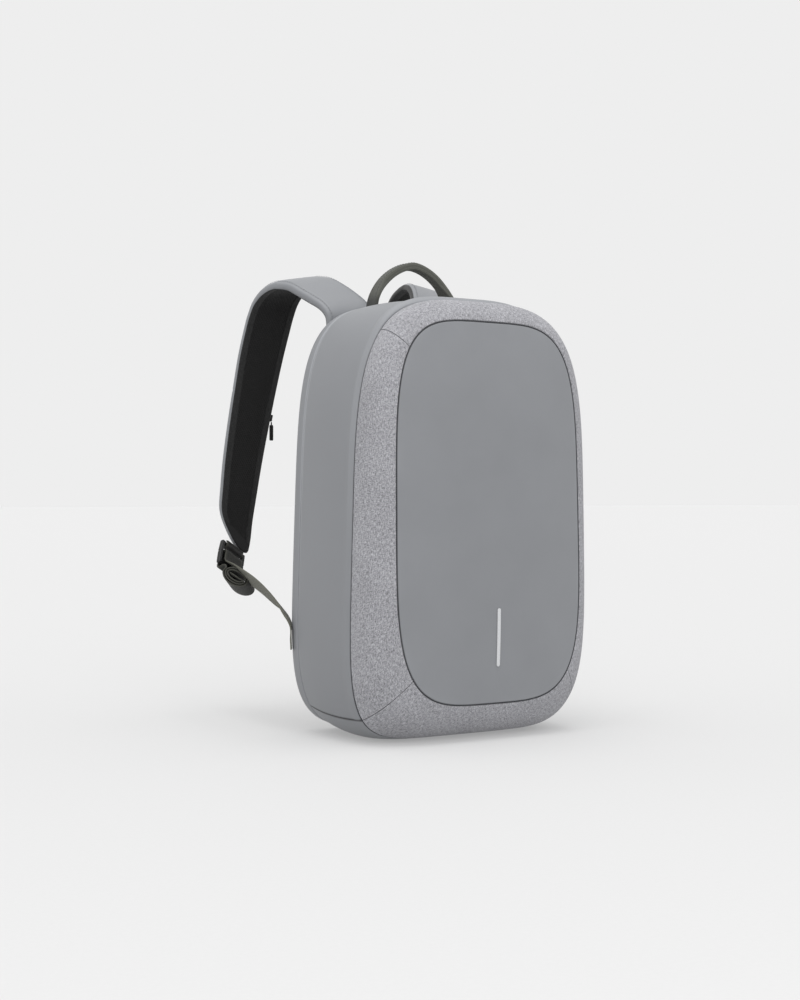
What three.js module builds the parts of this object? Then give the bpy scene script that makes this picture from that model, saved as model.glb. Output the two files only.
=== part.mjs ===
import * as THREE from 'three';

// A hard-shell commuter backpack standing on its base. Millimetres, +Z up.
// The front faces -Y, and +X is at the right of someone who looks at the front.
// The origin is on the floor, below the middle of the body's depth.

// Body
const bodyWidth = 254.4;
const bodyHeight = 400;
const bodyDepth = 156;
const panelWall = 7;
const panelDome = 7;
const borderWall = 6;
const borderBulge = 8.4;
const gussetWall = 4;
const gussetBulge = 3.1;
const baseWall = 5;
const baseBulge = 6;
const rimWall = 4;
const rimInset = 13;
const rimDepth = 18;
const rimSquare = 3.5;
const backWall = 3;

// Seams
const pieceGap = 0.3;
const pipingWidth = 2.4;
const pipingDepth = 5;
const pipingProud = 0.5;
const mitreGap = 0.5;
const creaseGap = 0.5;

// Trim on the body
const stripWidth = 3.6;
const stripThickness = 0.6;
const stripOffset = 3;
const zipWidth = 8;
const zipThickness = 1.4;
const padThickness = 5;

// Top handle
const handleSpan = 90;
const handleRise = 41;
const handleGripWidth = 12;
const handleFootWidth = 25;
const handleGripThickness = 7;
const handleFootThickness = 3.5;
const handleDepth = 55;
const handleToe = 0.21;

// Shoulder straps
const strapSpacing = 102;
const strapSplay = 38.9;
const strapReach = 161.2;
const strapCrestAbove = 24.4;
const strapClimb = 72.4;
const strapDrop = 255.4;
const strapWidth = 56;
const strapThickness = 8;
const coverThickness = 2.2;
const coverLip = 0.2;

// Webbing and buckles
const webbingWidth = 25;
const webbingThickness = 1.5;
const webbingArch = 10;
const anchorLength = 20;
const anchorWidth = 14;
const buckleHeight = 27;
const buckleThickness = 4;
const barHeight = 4;
const railWidth = 4.5;
const slotClearance = 1;
const buckleHang = 16.5;
const buckleSwing = 24;
const rollRadius = 9;
const rollFlat = 5;
const rollHang = 32;
const rollBack = 18;
const rollSlope = 38;
const rollPitch = 2.1;
const rollTurns = 3.5;

// Zip pull on one strap
const sliderSize = { across: 4, deep: 4, tall: 7 };
const pullSize = { across: 4.5, deep: 1.5, tall: 19 };

const degree = Math.PI / 180;
const towardsBack = new THREE.Vector3(0, 1, 0);
const upwards = new THREE.Vector3(0, 0, 1);

// The body's seams from front to back. Widths are shares of bodyWidth, low and high of bodyHeight,
// depths of bodyDepth. Square is the exponent of the corners: 2 is an ellipse, more is squarer.
const seams = {
  panel: {
    widthTop: 0.787, widthBase: 0.813, low: 0.0835, high: 0.940,
    depthTop: -0.434, depthBase: -0.479, squareTop: 4.2, squareBase: 4.06,
  },
  border: {
    widthTop: 0.943, widthBase: 1.0, low: 0.005, high: 0.990,
    depthTop: -0.236, depthBase: -0.195, squareTop: 3.59, squareBase: 6.12,
  },
  back: {
    widthTop: 0.919, widthBase: 0.989, low: 0.004, high: 0.996,
    depthTop: 0.466, depthBase: 0.521, squareTop: 4.08, squareBase: 5.07,
  },
  pad: {
    widthTop: 0.66, widthBase: 0.72, low: 0.13, high: 0.865,
    depthTop: 0.466, depthBase: 0.521, squareTop: 4.5, squareBase: 4.5,
  },
};

// Where seams cross the outline, as turns round it from +X over the top.
const mitres = { topRight: 44.5 * degree, topLeft: 135.5 * degree, baseLeft: 226 * degree, baseRight: 314 * degree };
const fullTurn = 360 * degree;
const turnSteps = 64;
const cornerCrowding = 0.45;
const mitreLean = 5.5 * degree;

const mix = THREE.MathUtils.lerp;

function outline(seam, turn) {
  const angle = turn + (cornerCrowding / 4) * Math.sin(4 * turn);
  const cos = Math.cos(angle);
  const sin = Math.sin(angle);
  const square = sin >= 0 ? seam.squareTop : seam.squareBase;
  const reach = (Math.abs(cos) ** square + Math.abs(sin) ** square) ** (-1 / square);
  const rise = (1 + reach * sin) / 2;
  return new THREE.Vector3(
    0.5 * bodyWidth * mix(seam.widthBase, seam.widthTop, rise) * reach * cos,
    bodyDepth * mix(seam.depthBase, seam.depthTop, rise),
    bodyHeight * mix(seam.low, seam.high, rise),
  );
}

function alongOutline(seam, turn) {
  const step = 0.002;
  return outline(seam, turn + step).sub(outline(seam, turn - step)).divideScalar(2 * step);
}

function inwards(seam, turn) {
  return alongOutline(seam, turn).cross(towardsBack).normalize();
}

const creasePoint = (turn) => outline(seams.back, turn).addScaledVector(towardsBack, -rimDepth);
const backEdge = (turn, inset) => outline(seams.back, turn).addScaledVector(inwards(seams.back, turn), inset);

function backFace(z) {
  const { low, high, depthBase, depthTop } = seams.back;
  return bodyDepth * mix(depthBase, depthTop, (z / bodyHeight - low) / (high - low));
}

// The skin's surfaces run from one seam (share 0) to the next (share 1) and swell between them.
function swollen(near, far, along, bulge, share) {
  const out = far.clone().sub(near).cross(along).normalize();
  return near.clone().lerp(far, share).addScaledVector(out, 4 * share * (1 - share) * bulge);
}

// The border's upper mitres lean: they meet its outer seam nearer to the top than its inner one.
function borderSurface(turn, share) {
  const leant = turn + mitreLean * Math.sin(2 * turn) * Math.max(Math.sin(turn), 0);
  const along = alongOutline(seams.border, leant);
  return swollen(outline(seams.panel, turn), outline(seams.border, leant), along, borderBulge, share);
}

function gussetSurface(turn, share) {
  const along = alongOutline(seams.border, turn);
  const under = Math.max(0, -Math.sin(turn)) ** 4;
  const bulge = mix(gussetBulge, baseBulge, under);
  const point = swollen(outline(seams.border, turn), creasePoint(turn), along, bulge, share);
  point.z = Math.max(point.z, 0);
  return point;
}

// How far the rim has come in where it has gone back by a share of its depth.
const rimDrop = (share) => rimInset * (1 - (1 - share ** rimSquare) ** (1 / rimSquare));

function rimSurface(turn, share) {
  const cos = Math.cos(share * 90 * degree);
  const sin = Math.sin(share * 90 * degree);
  const back = sin * (Math.abs(cos) ** rimSquare + sin ** rimSquare) ** (-1 / rimSquare);
  return creasePoint(turn)
    .addScaledVector(inwards(seams.back, turn), rimDrop(back))
    .addScaledVector(towardsBack, rimDepth * back);
}

function inwardNormal(surface, turn, share) {
  const step = 0.01;
  const low = Math.max(share - step, 0);
  const high = Math.min(share + step, 1);
  const along = surface(turn + step, share).sub(surface(turn - step, share));
  return along.cross(surface(turn, high).sub(surface(turn, low))).normalize();
}

// A closed solid from points and triangles, with its faces turned out.
function solid(points, triangles) {
  let volume = 0;
  for (const [a, b, c] of triangles) {
    volume += points[a].dot(points[b].clone().cross(points[c]));
  }
  const faces = volume < 0 ? triangles.map(([a, b, c]) => [a, c, b]) : triangles;
  const geometry = new THREE.BufferGeometry().setFromPoints(points);
  geometry.setIndex(faces.flat());
  geometry.computeVertexNormals();
  return geometry;
}

// A closed solid through strips. Each strip has as many points on its outer as on its inner side.
function band(strips, closed) {
  const across = strips[0].outer.length;
  const ring = 2 * across;
  const points = strips.flatMap(({ outer, inner }) => [...outer, ...inner.slice().reverse()]);
  const triangles = [];
  const quad = (a, b, c, d) => triangles.push([a, b, c], [a, c, d]);
  const spans = closed ? strips.length : strips.length - 1;
  for (let i = 0; i < spans; i++) {
    const here = i * ring;
    const next = ((i + 1) % strips.length) * ring;
    for (let j = 0; j < ring; j++) {
      const k = (j + 1) % ring;
      quad(here + j, here + k, next + k, next + j);
    }
  }
  if (!closed) {
    const last = (strips.length - 1) * ring;
    for (let j = 0; j < across - 1; j++) {
      const facing = ring - 1 - j;
      quad(j, facing, facing - 1, j + 1);
      quad(last + j, last + j + 1, last + facing - 1, last + facing);
    }
  }
  return solid(points, triangles);
}

// A closed plate inside a rim. Its rows shrink towards the middle and are lifted along the facing.
function plate(rim, facing, outerRows, innerRows) {
  const middle = rim.reduce((sum, point) => sum.add(point), new THREE.Vector3()).divideScalar(rim.length);
  const points = [];
  const triangles = [];
  const count = rim.length;
  const side = (rows, order) => {
    const first = points.length;
    for (const { share, lift } of rows) {
      points.push(...rim.map((point) => middle.clone().lerp(point, share).addScaledVector(facing, lift)));
    }
    for (let row = 0; row < rows.length - 1; row++) {
      const start = first + row * count;
      for (let i = 0; i < count; i++) {
        const k = (i + 1) % count;
        triangles.push(order([start + i, start + k, start + count + k]));
        triangles.push(order([start + i, start + count + k, start + count + i]));
      }
    }
    return first;
  };
  const forwards = (triangle) => triangle;
  const backwards = ([a, b, c]) => [a, c, b];
  const centre = (rows, order) => {
    const hub = points.length;
    points.push(middle.clone().addScaledVector(facing, rows.at(-1).lift));
    for (let i = 0; i < count; i++) {
      triangles.push(order([hub - count + i, hub - count + ((i + 1) % count), hub]));
    }
  };
  const outer = side(outerRows, forwards);
  centre(outerRows, forwards);
  const inner = side(innerRows, backwards);
  centre(innerRows, backwards);
  for (let i = 0; i < count; i++) {
    const k = (i + 1) % count;
    triangles.push([outer + i, inner + i, inner + k], [outer + i, inner + k, outer + k]);
  }
  return solid(points, triangles);
}

// The same solid on the other side of the bag, with each triangle turned back to face out.
function mirrored(geometry) {
  const copy = geometry.index ? geometry.toNonIndexed() : geometry.clone();
  copy.scale(-1, 1, 1);
  const places = copy.attributes.position;
  for (let i = 0; i < places.count; i += 3) {
    const kept = new THREE.Vector3().fromBufferAttribute(places, i + 1);
    places.copyAt(i + 1, places, i + 2);
    places.setXYZ(i + 2, kept.x, kept.y, kept.z);
  }
  copy.computeVertexNormals();
  return copy;
}

const spread = (from, to, steps) => Array.from({ length: steps + 1 }, (_, i) => mix(from, to, i / steps));
const fullRing = Array.from({ length: turnSteps }, (_, i) => (i / turnSteps) * fullTurn);

// The turns of a patch between two cross seams, half a gap short of each.
function patchTurns(seam, from, to, gap) {
  const short = (turn) => gap / 2 / alongOutline(seam, turn).length();
  const steps = Math.round((turnSteps * (to - from)) / fullTurn);
  return spread(from + short(from), to - short(to), steps);
}

// A wall behind a surface, from clearNear past its first seam to clearFar short of its second one.
function walled({ surface, turns, shares, wall, near, far, clearNear, clearFar, closed }) {
  const strips = turns.map((turn) => {
    const step = 0.01;
    const pace = (share, other) => surface(turn, share).distanceTo(surface(turn, other)) / step;
    const first = clearNear / pace(0, step);
    const last = 1 - clearFar / pace(1, 1 - step);
    const outer = shares.map((share) => surface(turn, mix(first, last, share)));
    const inner = shares.map((share, i) => {
      const edge = share === 0 ? near(turn) : share === 1 ? far(turn) : null;
      const direction = edge ?? inwardNormal(surface, turn, mix(first, last, share));
      return outer[i].clone().addScaledVector(direction, wall);
    });
    return { outer, inner };
  });
  return band(strips, closed);
}

const seamSide = pipingWidth / 2 + pieceGap;
const straightBack = () => towardsBack;
const borderInwards = (turn) => inwards(seams.border, turn);
const backInwards = (turn) => inwards(seams.back, turn);

function frontPanel() {
  const rim = fullRing.map((turn) =>
    outline(seams.panel, turn).addScaledVector(inwards(seams.panel, turn), seamSide));
  const dome = (share) => ({ share, lift: panelDome * (1 - share ** 3) });
  const behind = (share) => ({ share, lift: panelDome * (1 - share ** 3) - panelWall });
  return plate(rim, new THREE.Vector3(0, -1, 0), [1, 0.9, 0.78, 0.62, 0.38].map(dome), [1, 0.85, 0.5].map(behind));
}

// The bar stands on the dome, on the line from the panel's middle to the middle of its lower edge.
function reflectiveStrip() {
  const foot = outline(seams.panel, 270 * degree);
  const head = outline(seams.panel, 90 * degree);
  const middle = foot.clone().lerp(head, 0.5);
  const shares = { head: 0.5, foot: 0.805 };
  const strips = spread(shares.head, shares.foot, 5).map((share) => {
    const at = middle.clone().lerp(foot, share);
    const front = at.y - panelDome * (1 - share ** 3) - pieceGap;
    const across = [-0.5, 0.5].map((side) => stripOffset + side * stripWidth);
    return {
      outer: across.map((x) => new THREE.Vector3(x, front - stripThickness, at.z)),
      inner: across.map((x) => new THREE.Vector3(x, front, at.z)),
    };
  });
  return band(strips, false);
}

// A closed trim along a seam, with a rounded top and square sides.
function piping(seam, inwardsAt, sideways) {
  const profile = [
    { side: -0.5, top: 0.15 },
    { side: 0, top: 1 },
    { side: 0.5, top: 0.15 },
  ];
  const strips = fullRing.map((turn) => {
    const at = outline(seam, turn);
    const down = inwardsAt(turn);
    const aside = sideways(turn);
    const place = (side, depth) => at.clone()
      .addScaledVector(aside, side * pipingWidth)
      .addScaledVector(down, depth);
    return {
      outer: profile.map(({ side, top }) => place(side, -top * pipingProud)),
      inner: profile.map(({ side }) => place(side, pipingDepth)),
    };
  });
  return band(strips, true);
}

function borderPiece(from, to) {
  return walled({
    surface: borderSurface, turns: patchTurns(seams.panel, from, to, mitreGap), shares: [0, 0.3, 0.55, 0.8, 1],
    wall: borderWall, near: straightBack, far: borderInwards, clearNear: seamSide, clearFar: seamSide, closed: false,
  });
}

function gussetPiece(from, to, wall, shares) {
  return walled({
    surface: gussetSurface, turns: patchTurns(seams.border, from, to, mitreGap), shares,
    wall, near: borderInwards, far: backInwards, clearNear: seamSide, clearFar: creaseGap / 2, closed: false,
  });
}

function backRim() {
  return walled({
    surface: rimSurface, turns: fullRing, shares: [0, 0.3, 0.65, 1], wall: rimWall, near: backInwards,
    far: () => towardsBack.clone().negate(), clearNear: creaseGap / 2, clearFar: 0, closed: true,
  });
}

function backPanel() {
  const rim = fullRing.map((turn) => backEdge(turn, rimInset + creaseGap));
  return plate(rim, towardsBack, [{ share: 1, lift: 0 }], [{ share: 1, lift: -backWall }]);
}

// The zip lies over the seam of the back panel, from one lower corner over the top to the other.
function backZip() {
  const ends = { right: -50 * degree, left: 230 * degree };
  const strips = spread(ends.right, ends.left, 46).map((turn) => {
    const strip = (height) => [-0.5, 0.5].map((side) =>
      backEdge(turn, rimInset + side * zipWidth).addScaledVector(towardsBack, height));
    return { outer: strip(pieceGap + zipThickness), inner: strip(pieceGap) };
  });
  return band(strips, false);
}

function backPad() {
  const rim = fullRing.map((turn) => {
    const point = outline(seams.pad, turn);
    point.y = backFace(point.z) + pieceGap;
    return point;
  });
  const rows = [{ share: 1, lift: 0.3 }, { share: 0.975, lift: 0.8 }, { share: 0.93, lift: 1 }];
  const outer = rows.map(({ share, lift }) => ({ share, lift: lift * padThickness }));
  return plate(rim, towardsBack, outer, [{ share: 1, lift: 0 }]);
}

// The turn at which the top of the back outline is at x.
function topTurn(x) {
  let right = mitres.topRight;
  let left = mitres.topLeft;
  for (let i = 0; i < 30; i++) {
    const middle = (right + left) / 2;
    if (outline(seams.back, middle).x > x) {
      right = middle;
    } else {
      left = middle;
    }
  }
  return right;
}

// The height of the body's top at x and y, over the gusset and the rim behind it.
function topHeight(x, y) {
  const turn = topTurn(x);
  const crease = creasePoint(turn);
  const front = outline(seams.border, turn);
  if (y < crease.y) {
    return gussetSurface(turn, (y - front.y) / (crease.y - front.y)).z;
  }
  return crease.z + inwards(seams.back, turn).z * rimDrop(Math.min((y - crease.y) / rimDepth, 1));
}

function topHandle() {
  const lean = 1.7;
  const steps = 20;
  const foot = topHeight(0, handleDepth);
  const sides = [-0.5, -0.1, 0.14, 0.27, 0.39, 0.5];
  const strips = spread(0, 180 * degree, steps).map((angle, step) => {
    const cos = Math.cos(angle);
    const sin = Math.max(Math.sin(angle), 0);
    const reach = (Math.abs(cos) ** lean + sin ** lean) ** (-1 / lean);
    const grip = Math.min(1, 1.6 * sin);
    const width = mix(handleFootWidth, handleGripWidth, grip);
    const thickness = mix(handleFootThickness, handleGripThickness, grip ** 2);
    const layer = (offset) => sides.map((side) => {
      const x = ((handleSpan / 2 + offset) * reach - handleToe * side * width * (1 - grip)) * cos;
      const y = handleDepth + side * width;
      const ends = step === 0 || step === steps;
      const z = ends ? topHeight(x, y) + pieceGap : foot + (handleRise + offset) * reach * sin;
      return new THREE.Vector3(x, y, z);
    });
    return { outer: layer(thickness / 2), inner: layer(-thickness / 2) };
  });
  return band(strips, false);
}

// The middle of a strap's padded side, from its root on the back panel over the crest to its tip.
// Out is a share of strapSplay, back of strapReach, climb and drop of the sizes of those names,
// width of strapWidth, thick of strapThickness. Yaw and tilt turn its width, in degrees.
const strapRows = [
  { out: 0.00, back: 0.000, climb: 1.000, width: 1.00, thick: 0.78, yaw: 0, tilt: 0 },
  { out: 0.00, back: 0.000, climb: 0.876, width: 1.00, thick: 0.78, yaw: 0, tilt: 0 },
  { out: 0.00, back: 0.015, climb: 0.782, width: 1.00, thick: 0.78, yaw: 0, tilt: 0 },
  { out: 0.00, back: 0.018, climb: 0.544, width: 1.00, thick: 0.78, yaw: 0, tilt: 1 },
  { out: 0.04, back: 0.030, climb: 0.436, width: 0.99, thick: 0.82, yaw: 0, tilt: 3 },
  { out: 0.10, back: 0.070, climb: 0.338, width: 0.99, thick: 0.90, yaw: 0, tilt: 5 },
  { out: 0.21, back: 0.141, climb: 0.231, width: 0.98, thick: 1.00, yaw: 0, tilt: 8 },
  { out: 0.36, back: 0.214, climb: 0.121, width: 0.97, thick: 1.00, yaw: 0, tilt: 10 },
  { out: 0.48, back: 0.286, climb: 0.037, width: 0.96, thick: 1.00, yaw: 0, tilt: 10 },
  { out: 0.59, back: 0.366, climb: 0.004, width: 0.96, thick: 1.00, yaw: 0, tilt: 10 },
  { out: 0.64, back: 0.444, drop: 0.006, width: 0.95, thick: 1.00, yaw: 0, tilt: 9 },
  { out: 0.68, back: 0.530, drop: 0.025, width: 0.93, thick: 1.00, yaw: 0, tilt: 8 },
  { out: 0.72, back: 0.598, drop: 0.060, width: 0.92, thick: 1.00, yaw: 0, tilt: 6 },
  { out: 0.76, back: 0.635, drop: 0.104, width: 0.92, thick: 1.00, yaw: 1, tilt: 4 },
  { out: 0.78, back: 0.669, drop: 0.152, width: 0.92, thick: 1.00, yaw: 2, tilt: 2 },
  { out: 0.83, back: 0.727, drop: 0.256, width: 0.92, thick: 1.00, yaw: 4, tilt: 1 },
  { out: 0.88, back: 0.780, drop: 0.376, width: 0.90, thick: 1.00, yaw: 6, tilt: 0 },
  { out: 0.94, back: 0.836, drop: 0.518, width: 0.88, thick: 1.00, yaw: 8, tilt: -1 },
  { out: 0.98, back: 0.894, drop: 0.665, width: 0.86, thick: 1.00, yaw: 11, tilt: -3 },
  { out: 0.99, back: 0.945, drop: 0.797, width: 0.82, thick: 1.00, yaw: 13, tilt: -9 },
  { out: 1.00, back: 0.974, drop: 0.879, width: 0.79, thick: 0.97, yaw: 13, tilt: -17 },
  { out: 0.99, back: 0.994, drop: 0.945, width: 0.77, thick: 0.90, yaw: 12, tilt: -25 },
  { out: 1.00, back: 1.000, drop: 1.000, width: 0.70, thick: 0.78, yaw: 12, tilt: -31 },
];

// The stations of the strap at -X: where it is, which way is across it, and which way is its outer side.
function strapStations() {
  const crest = bodyHeight + strapCrestAbove;
  const root = crest - strapClimb;
  const rootBack = backFace(root) + pieceGap + strapRows[0].thick * strapThickness;
  const places = strapRows.map(({ out, back, climb, drop }) => new THREE.Vector3(
    -strapSpacing / 2 - out * strapSplay,
    rootBack + back * strapReach,
    climb === undefined ? crest - drop * strapDrop : crest - climb * strapClimb,
  ));
  return strapRows.map((row, i) => {
    const before = places[Math.max(i - 1, 0)];
    const after = places[Math.min(i + 1, places.length - 1)];
    const yaw = row.yaw * degree;
    const tilt = row.tilt * degree;
    const across = new THREE.Vector3(Math.cos(yaw) * Math.cos(tilt), Math.sin(yaw) * Math.cos(tilt), Math.sin(tilt));
    const outer = across.clone().cross(after.clone().sub(before)).normalize();
    return { at: places[i], across, outer, half: row.width * strapWidth / 2, thick: row.thick * strapThickness };
  });
}

const stations = strapStations();

function strapStrip(station, outer, inner) {
  const place = ([side, height]) => station.at.clone()
    .addScaledVector(station.across, side)
    .addScaledVector(station.outer, height);
  return { outer: outer.map(place), inner: inner.map(place) };
}

// The cover goes over the outer side and most of both edges. The pad fills it and closes it from inside.
const coverEdge = (station) => coverLip * station.thick;

function strapCover() {
  const bevel = 0.3;
  const strips = stations.map((station) => {
    const { half, thick } = station;
    const lip = half - coverThickness;
    const roof = thick - coverThickness;
    const round = bevel * thick;
    const edge = coverEdge(station);
    const outer = [[-half, edge], [-half, thick - round], [-half + round, thick]];
    const inner = [[-lip, edge], [-lip, (edge + roof) / 2], [-lip, roof]];
    const flip = ([side, height]) => [-side, height];
    return strapStrip(station,
      [...outer, ...outer.map(flip).reverse()],
      [...inner, ...inner.map(flip).reverse()]);
  });
  return band(strips, false);
}

function strapPad() {
  const proud = 0.6;
  const strips = stations.map((station) => {
    const { half, thick } = station;
    const side = half - coverThickness - pieceGap;
    const roof = thick - coverThickness - pieceGap;
    const ledge = coverEdge(station) - pieceGap;
    const face = half - 2 * proud;
    return strapStrip(station,
      [[half, ledge], [side, ledge], [side, roof], [-side, roof], [-side, ledge], [-half, ledge]],
      [[half, 0], [face, -proud], [face / 3, -proud], [-face / 3, -proud], [-face, -proud], [-half, 0]]);
  });
  return band(strips, false);
}

// The buckle hangs below the strap's tip. Local places in it are given as outer (away from the body)
// and down, from the buckle's middle.
const tip = stations.at(-1);
const swing = new THREE.Quaternion().setFromAxisAngle(tip.across, -buckleSwing * degree);
const buckleFrame = {
  across: tip.across,
  outer: tip.outer.clone().applyQuaternion(swing),
  down: tip.outer.clone().cross(tip.across).normalize().applyQuaternion(swing),
};
buckleFrame.middle = tip.at.clone()
  .addScaledVector(tip.outer, tip.thick / 2)
  .addScaledVector(buckleFrame.down, buckleHang);

const inBuckle = ({ outer, down }) => buckleFrame.middle.clone()
  .addScaledVector(buckleFrame.outer, outer)
  .addScaledVector(buckleFrame.down, down);

// A flat band through places, each with its own across direction and, where it isn't full, its width.
function ribbon(places, thickness, fullWidth) {
  const strips = places.map(({ at, across, width = fullWidth }, i) => {
    const before = places[Math.max(i - 1, 0)].at;
    const after = places[Math.min(i + 1, places.length - 1)].at;
    const along = after.clone().sub(before).normalize();
    const side = across.clone().addScaledVector(along, -across.dot(along)).normalize();
    const up = side.clone().cross(along);
    const layer = (height) => [-0.5, 0.5].map((share) =>
      at.clone().addScaledVector(side, share * width).addScaledVector(up, height));
    return { outer: layer(thickness / 2), inner: layer(-thickness / 2) };
  });
  return band(strips, false);
}

const buckleWidth = webbingWidth + 2 * slotClearance + 2 * railWidth;
const topBar = -(buckleHeight - barHeight) / 2;
const bottomBar = -topBar;
const barHalf = buckleThickness / 2;
const plyOffset = barHalf + pieceGap + webbingThickness / 2 + 0.1;

function buckle() {
  const corner = 3;
  const halfWidth = buckleWidth / 2;
  const halfHeight = buckleHeight / 2;
  const shape = new THREE.Shape();
  shape.moveTo(-halfWidth + corner, -halfHeight);
  shape.lineTo(halfWidth - corner, -halfHeight);
  shape.lineTo(halfWidth, -halfHeight + corner);
  shape.lineTo(halfWidth, halfHeight - corner);
  shape.lineTo(halfWidth - corner, halfHeight);
  shape.lineTo(-halfWidth + corner, halfHeight);
  shape.lineTo(-halfWidth, halfHeight - corner);
  shape.lineTo(-halfWidth, -halfHeight + corner);
  shape.closePath();
  const slotHalf = webbingWidth / 2 + slotClearance;
  const slots = [[topBar + barHeight / 2, -barHeight / 2], [barHeight / 2, bottomBar - barHeight / 2]];
  for (const [from, to] of slots) {
    const slot = new THREE.Path();
    slot.moveTo(-slotHalf, from);
    slot.lineTo(-slotHalf, to);
    slot.lineTo(slotHalf, to);
    slot.lineTo(slotHalf, from);
    slot.closePath();
    shape.holes.push(slot);
  }
  const geometry = new THREE.ExtrudeGeometry(shape, { depth: buckleThickness, bevelEnabled: false });
  geometry.translate(0, 0, -buckleThickness / 2);
  const basis = new THREE.Matrix4().makeBasis(buckleFrame.across, buckleFrame.down, buckleFrame.outer);
  return geometry.applyMatrix4(basis.setPosition(buckleFrame.middle));
}

// A short loop of webbing joins the strap's tip to the buckle's top bar.
function buckleTab() {
  const inset = 1.3;
  const reach = inset + webbingThickness;
  const top = -buckleHang + pieceGap + reach * Math.tan(buckleSwing * degree) + 0.2;
  const side = [
    { outer: inset, down: top },
    { outer: 1.08 * plyOffset, down: topBar - 1.15 * barHalf },
    { outer: plyOffset, down: topBar },
    { outer: 1.03 * plyOffset, down: topBar + 0.7 * plyOffset },
    { outer: 0.74 * plyOffset, down: topBar + 1.02 * plyOffset },
  ];
  const bottom = { outer: 0, down: topBar + 1.06 * plyOffset };
  const back = side.map(({ outer, down }) => ({ outer: -outer, down })).reverse();
  const places = [...side, bottom, ...back].map((place) => ({ at: inBuckle(place), across: tip.across }));
  return ribbon(places, webbingThickness, webbingWidth);
}

// The webbing is sewn to the rim, runs up to the buckle, goes over its middle bar and down outside its
// bottom bar, and ends in a roll of the spare length.
function webbing() {
  const anchorTurn = 203.5 * degree;
  const anchorShare = 0.48;
  const anchorSpan = anchorLength / alongOutline(seams.back, anchorTurn).length();
  const seat = (turn) => {
    const normal = inwardNormal(rimSurface, turn, anchorShare).negate();
    const at = rimSurface(turn, anchorShare).addScaledVector(normal, 1.5 * pieceGap + webbingThickness / 2);
    const across = alongOutline(seams.back, turn).cross(normal).normalize();
    return { at, across, width: anchorWidth };
  };
  const anchor = [0.5, 0, -0.5].map((share) => seat(anchorTurn + share * anchorSpan));
  const underBar = barHalf + plyOffset;
  const exit = { outer: -2.7 * plyOffset, down: bottomBar + 0.3 * underBar };
  const run = [
    { along: 0.93, arch: 0.60, turned: 0.5, wide: 0.3 },
    { along: 0.81, arch: 1.00, turned: 0.2, wide: 0.8 },
    { along: 0.65, arch: 0.88, turned: 0.07, wide: 1 },
    { along: 0.42, arch: 0.65, turned: 0, wide: 1 },
    { along: 0.12, arch: 0.10, turned: 0, wide: 1 },
  ].map(({ along, arch, turned, wide }) => ({
    at: inBuckle(exit).lerp(anchor[2].at, along).addScaledVector(upwards, arch * webbingArch),
    across: tip.across.clone().lerp(anchor[2].across, turned).normalize(),
    width: mix(anchorWidth, webbingWidth, wide),
  }));
  const overBars = [
    exit,
    { outer: -1.6 * plyOffset, down: bottomBar - barHalf },
    { outer: -1.25 * plyOffset, down: bottomBar / 2 },
    { outer: -1.25 * plyOffset, down: -0.6 * plyOffset },
    { outer: -0.8 * plyOffset, down: -plyOffset },
    { outer: 0, down: -1.1 * plyOffset },
    { outer: 0.9 * plyOffset, down: -plyOffset },
    { outer: 1.05 * plyOffset, down: 0 },
    { outer: plyOffset, down: bottomBar / 2 },
    { outer: 1.05 * plyOffset, down: bottomBar },
  ];
  const slope = { outer: -Math.cos(rollSlope * degree), down: Math.sin(rollSlope * degree) };
  const rollAt = (turns) => {
    const radius = rollRadius - webbingThickness / 2 - rollPitch * turns;
    const long = -(radius + rollFlat) * Math.cos(turns * fullTurn);
    const short = radius * Math.sin(turns * fullTurn);
    return {
      outer: -rollBack + long * slope.outer + short * slope.down,
      down: rollHang + long * slope.down - short * slope.outer,
    };
  };
  const stepsPerTurn = 14;
  const spiral = spread(0, rollTurns, rollTurns * stepsPerTurn).map(rollAt);
  const tail = [0.3, 0.7].map((share) => ({
    outer: mix(1.05 * plyOffset, spiral[0].outer, share ** 2.4),
    down: mix(bottomBar, spiral[0].down, share),
  }));
  const local = [...overBars, ...tail, ...spiral].map((place) => ({ at: inBuckle(place), across: tip.across }));
  return ribbon([...anchor, ...run, ...local], webbingThickness, webbingWidth);
}

// A zip slider on the edge of the strap that faces the middle of the bag, and the pull that hangs from it.
function strapEdge(row) {
  const { at, across, outer, half, thick } = stations[row];
  return at.clone().addScaledVector(across, half).addScaledVector(outer, thick / 2);
}

const zipRow = 16;
const zipEdge = strapEdge(zipRow).lerp(strapEdge(zipRow + 1), 0.82);
const zipDirection = strapEdge(zipRow + 1).sub(strapEdge(zipRow)).normalize();
const zipTilt = new THREE.Matrix4().makeBasis(
  towardsBack.clone().cross(zipDirection).normalize().negate(),
  towardsBack,
  zipDirection.clone().negate(),
).setPosition(zipEdge);

function strapZipSlider() {
  const { across, deep, tall } = sliderSize;
  const geometry = new THREE.BoxGeometry(across, deep, tall);
  geometry.translate(across / 2 + pieceGap + 0.1, 0, 0);
  return geometry.applyMatrix4(zipTilt);
}

function strapZipPull() {
  const { across, deep, tall } = pullSize;
  const shape = new THREE.Shape();
  shape.moveTo(-across / 2, 0);
  shape.lineTo(across / 2, 0);
  shape.lineTo(across / 2, tall - across / 2);
  shape.lineTo(across / 4, tall);
  shape.lineTo(-across / 4, tall);
  shape.lineTo(-across / 2, tall - across / 2);
  shape.closePath();
  const geometry = new THREE.ExtrudeGeometry(shape, { depth: deep, bevelEnabled: false });
  geometry.rotateX(90 * degree);
  const hook = new THREE.Vector3(sliderSize.across, 0, -sliderSize.tall / 2).applyMatrix4(zipTilt);
  return geometry.translate(hook.x + pieceGap, hook.y + deep / 2, hook.z - tall - pieceGap);
}

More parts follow.
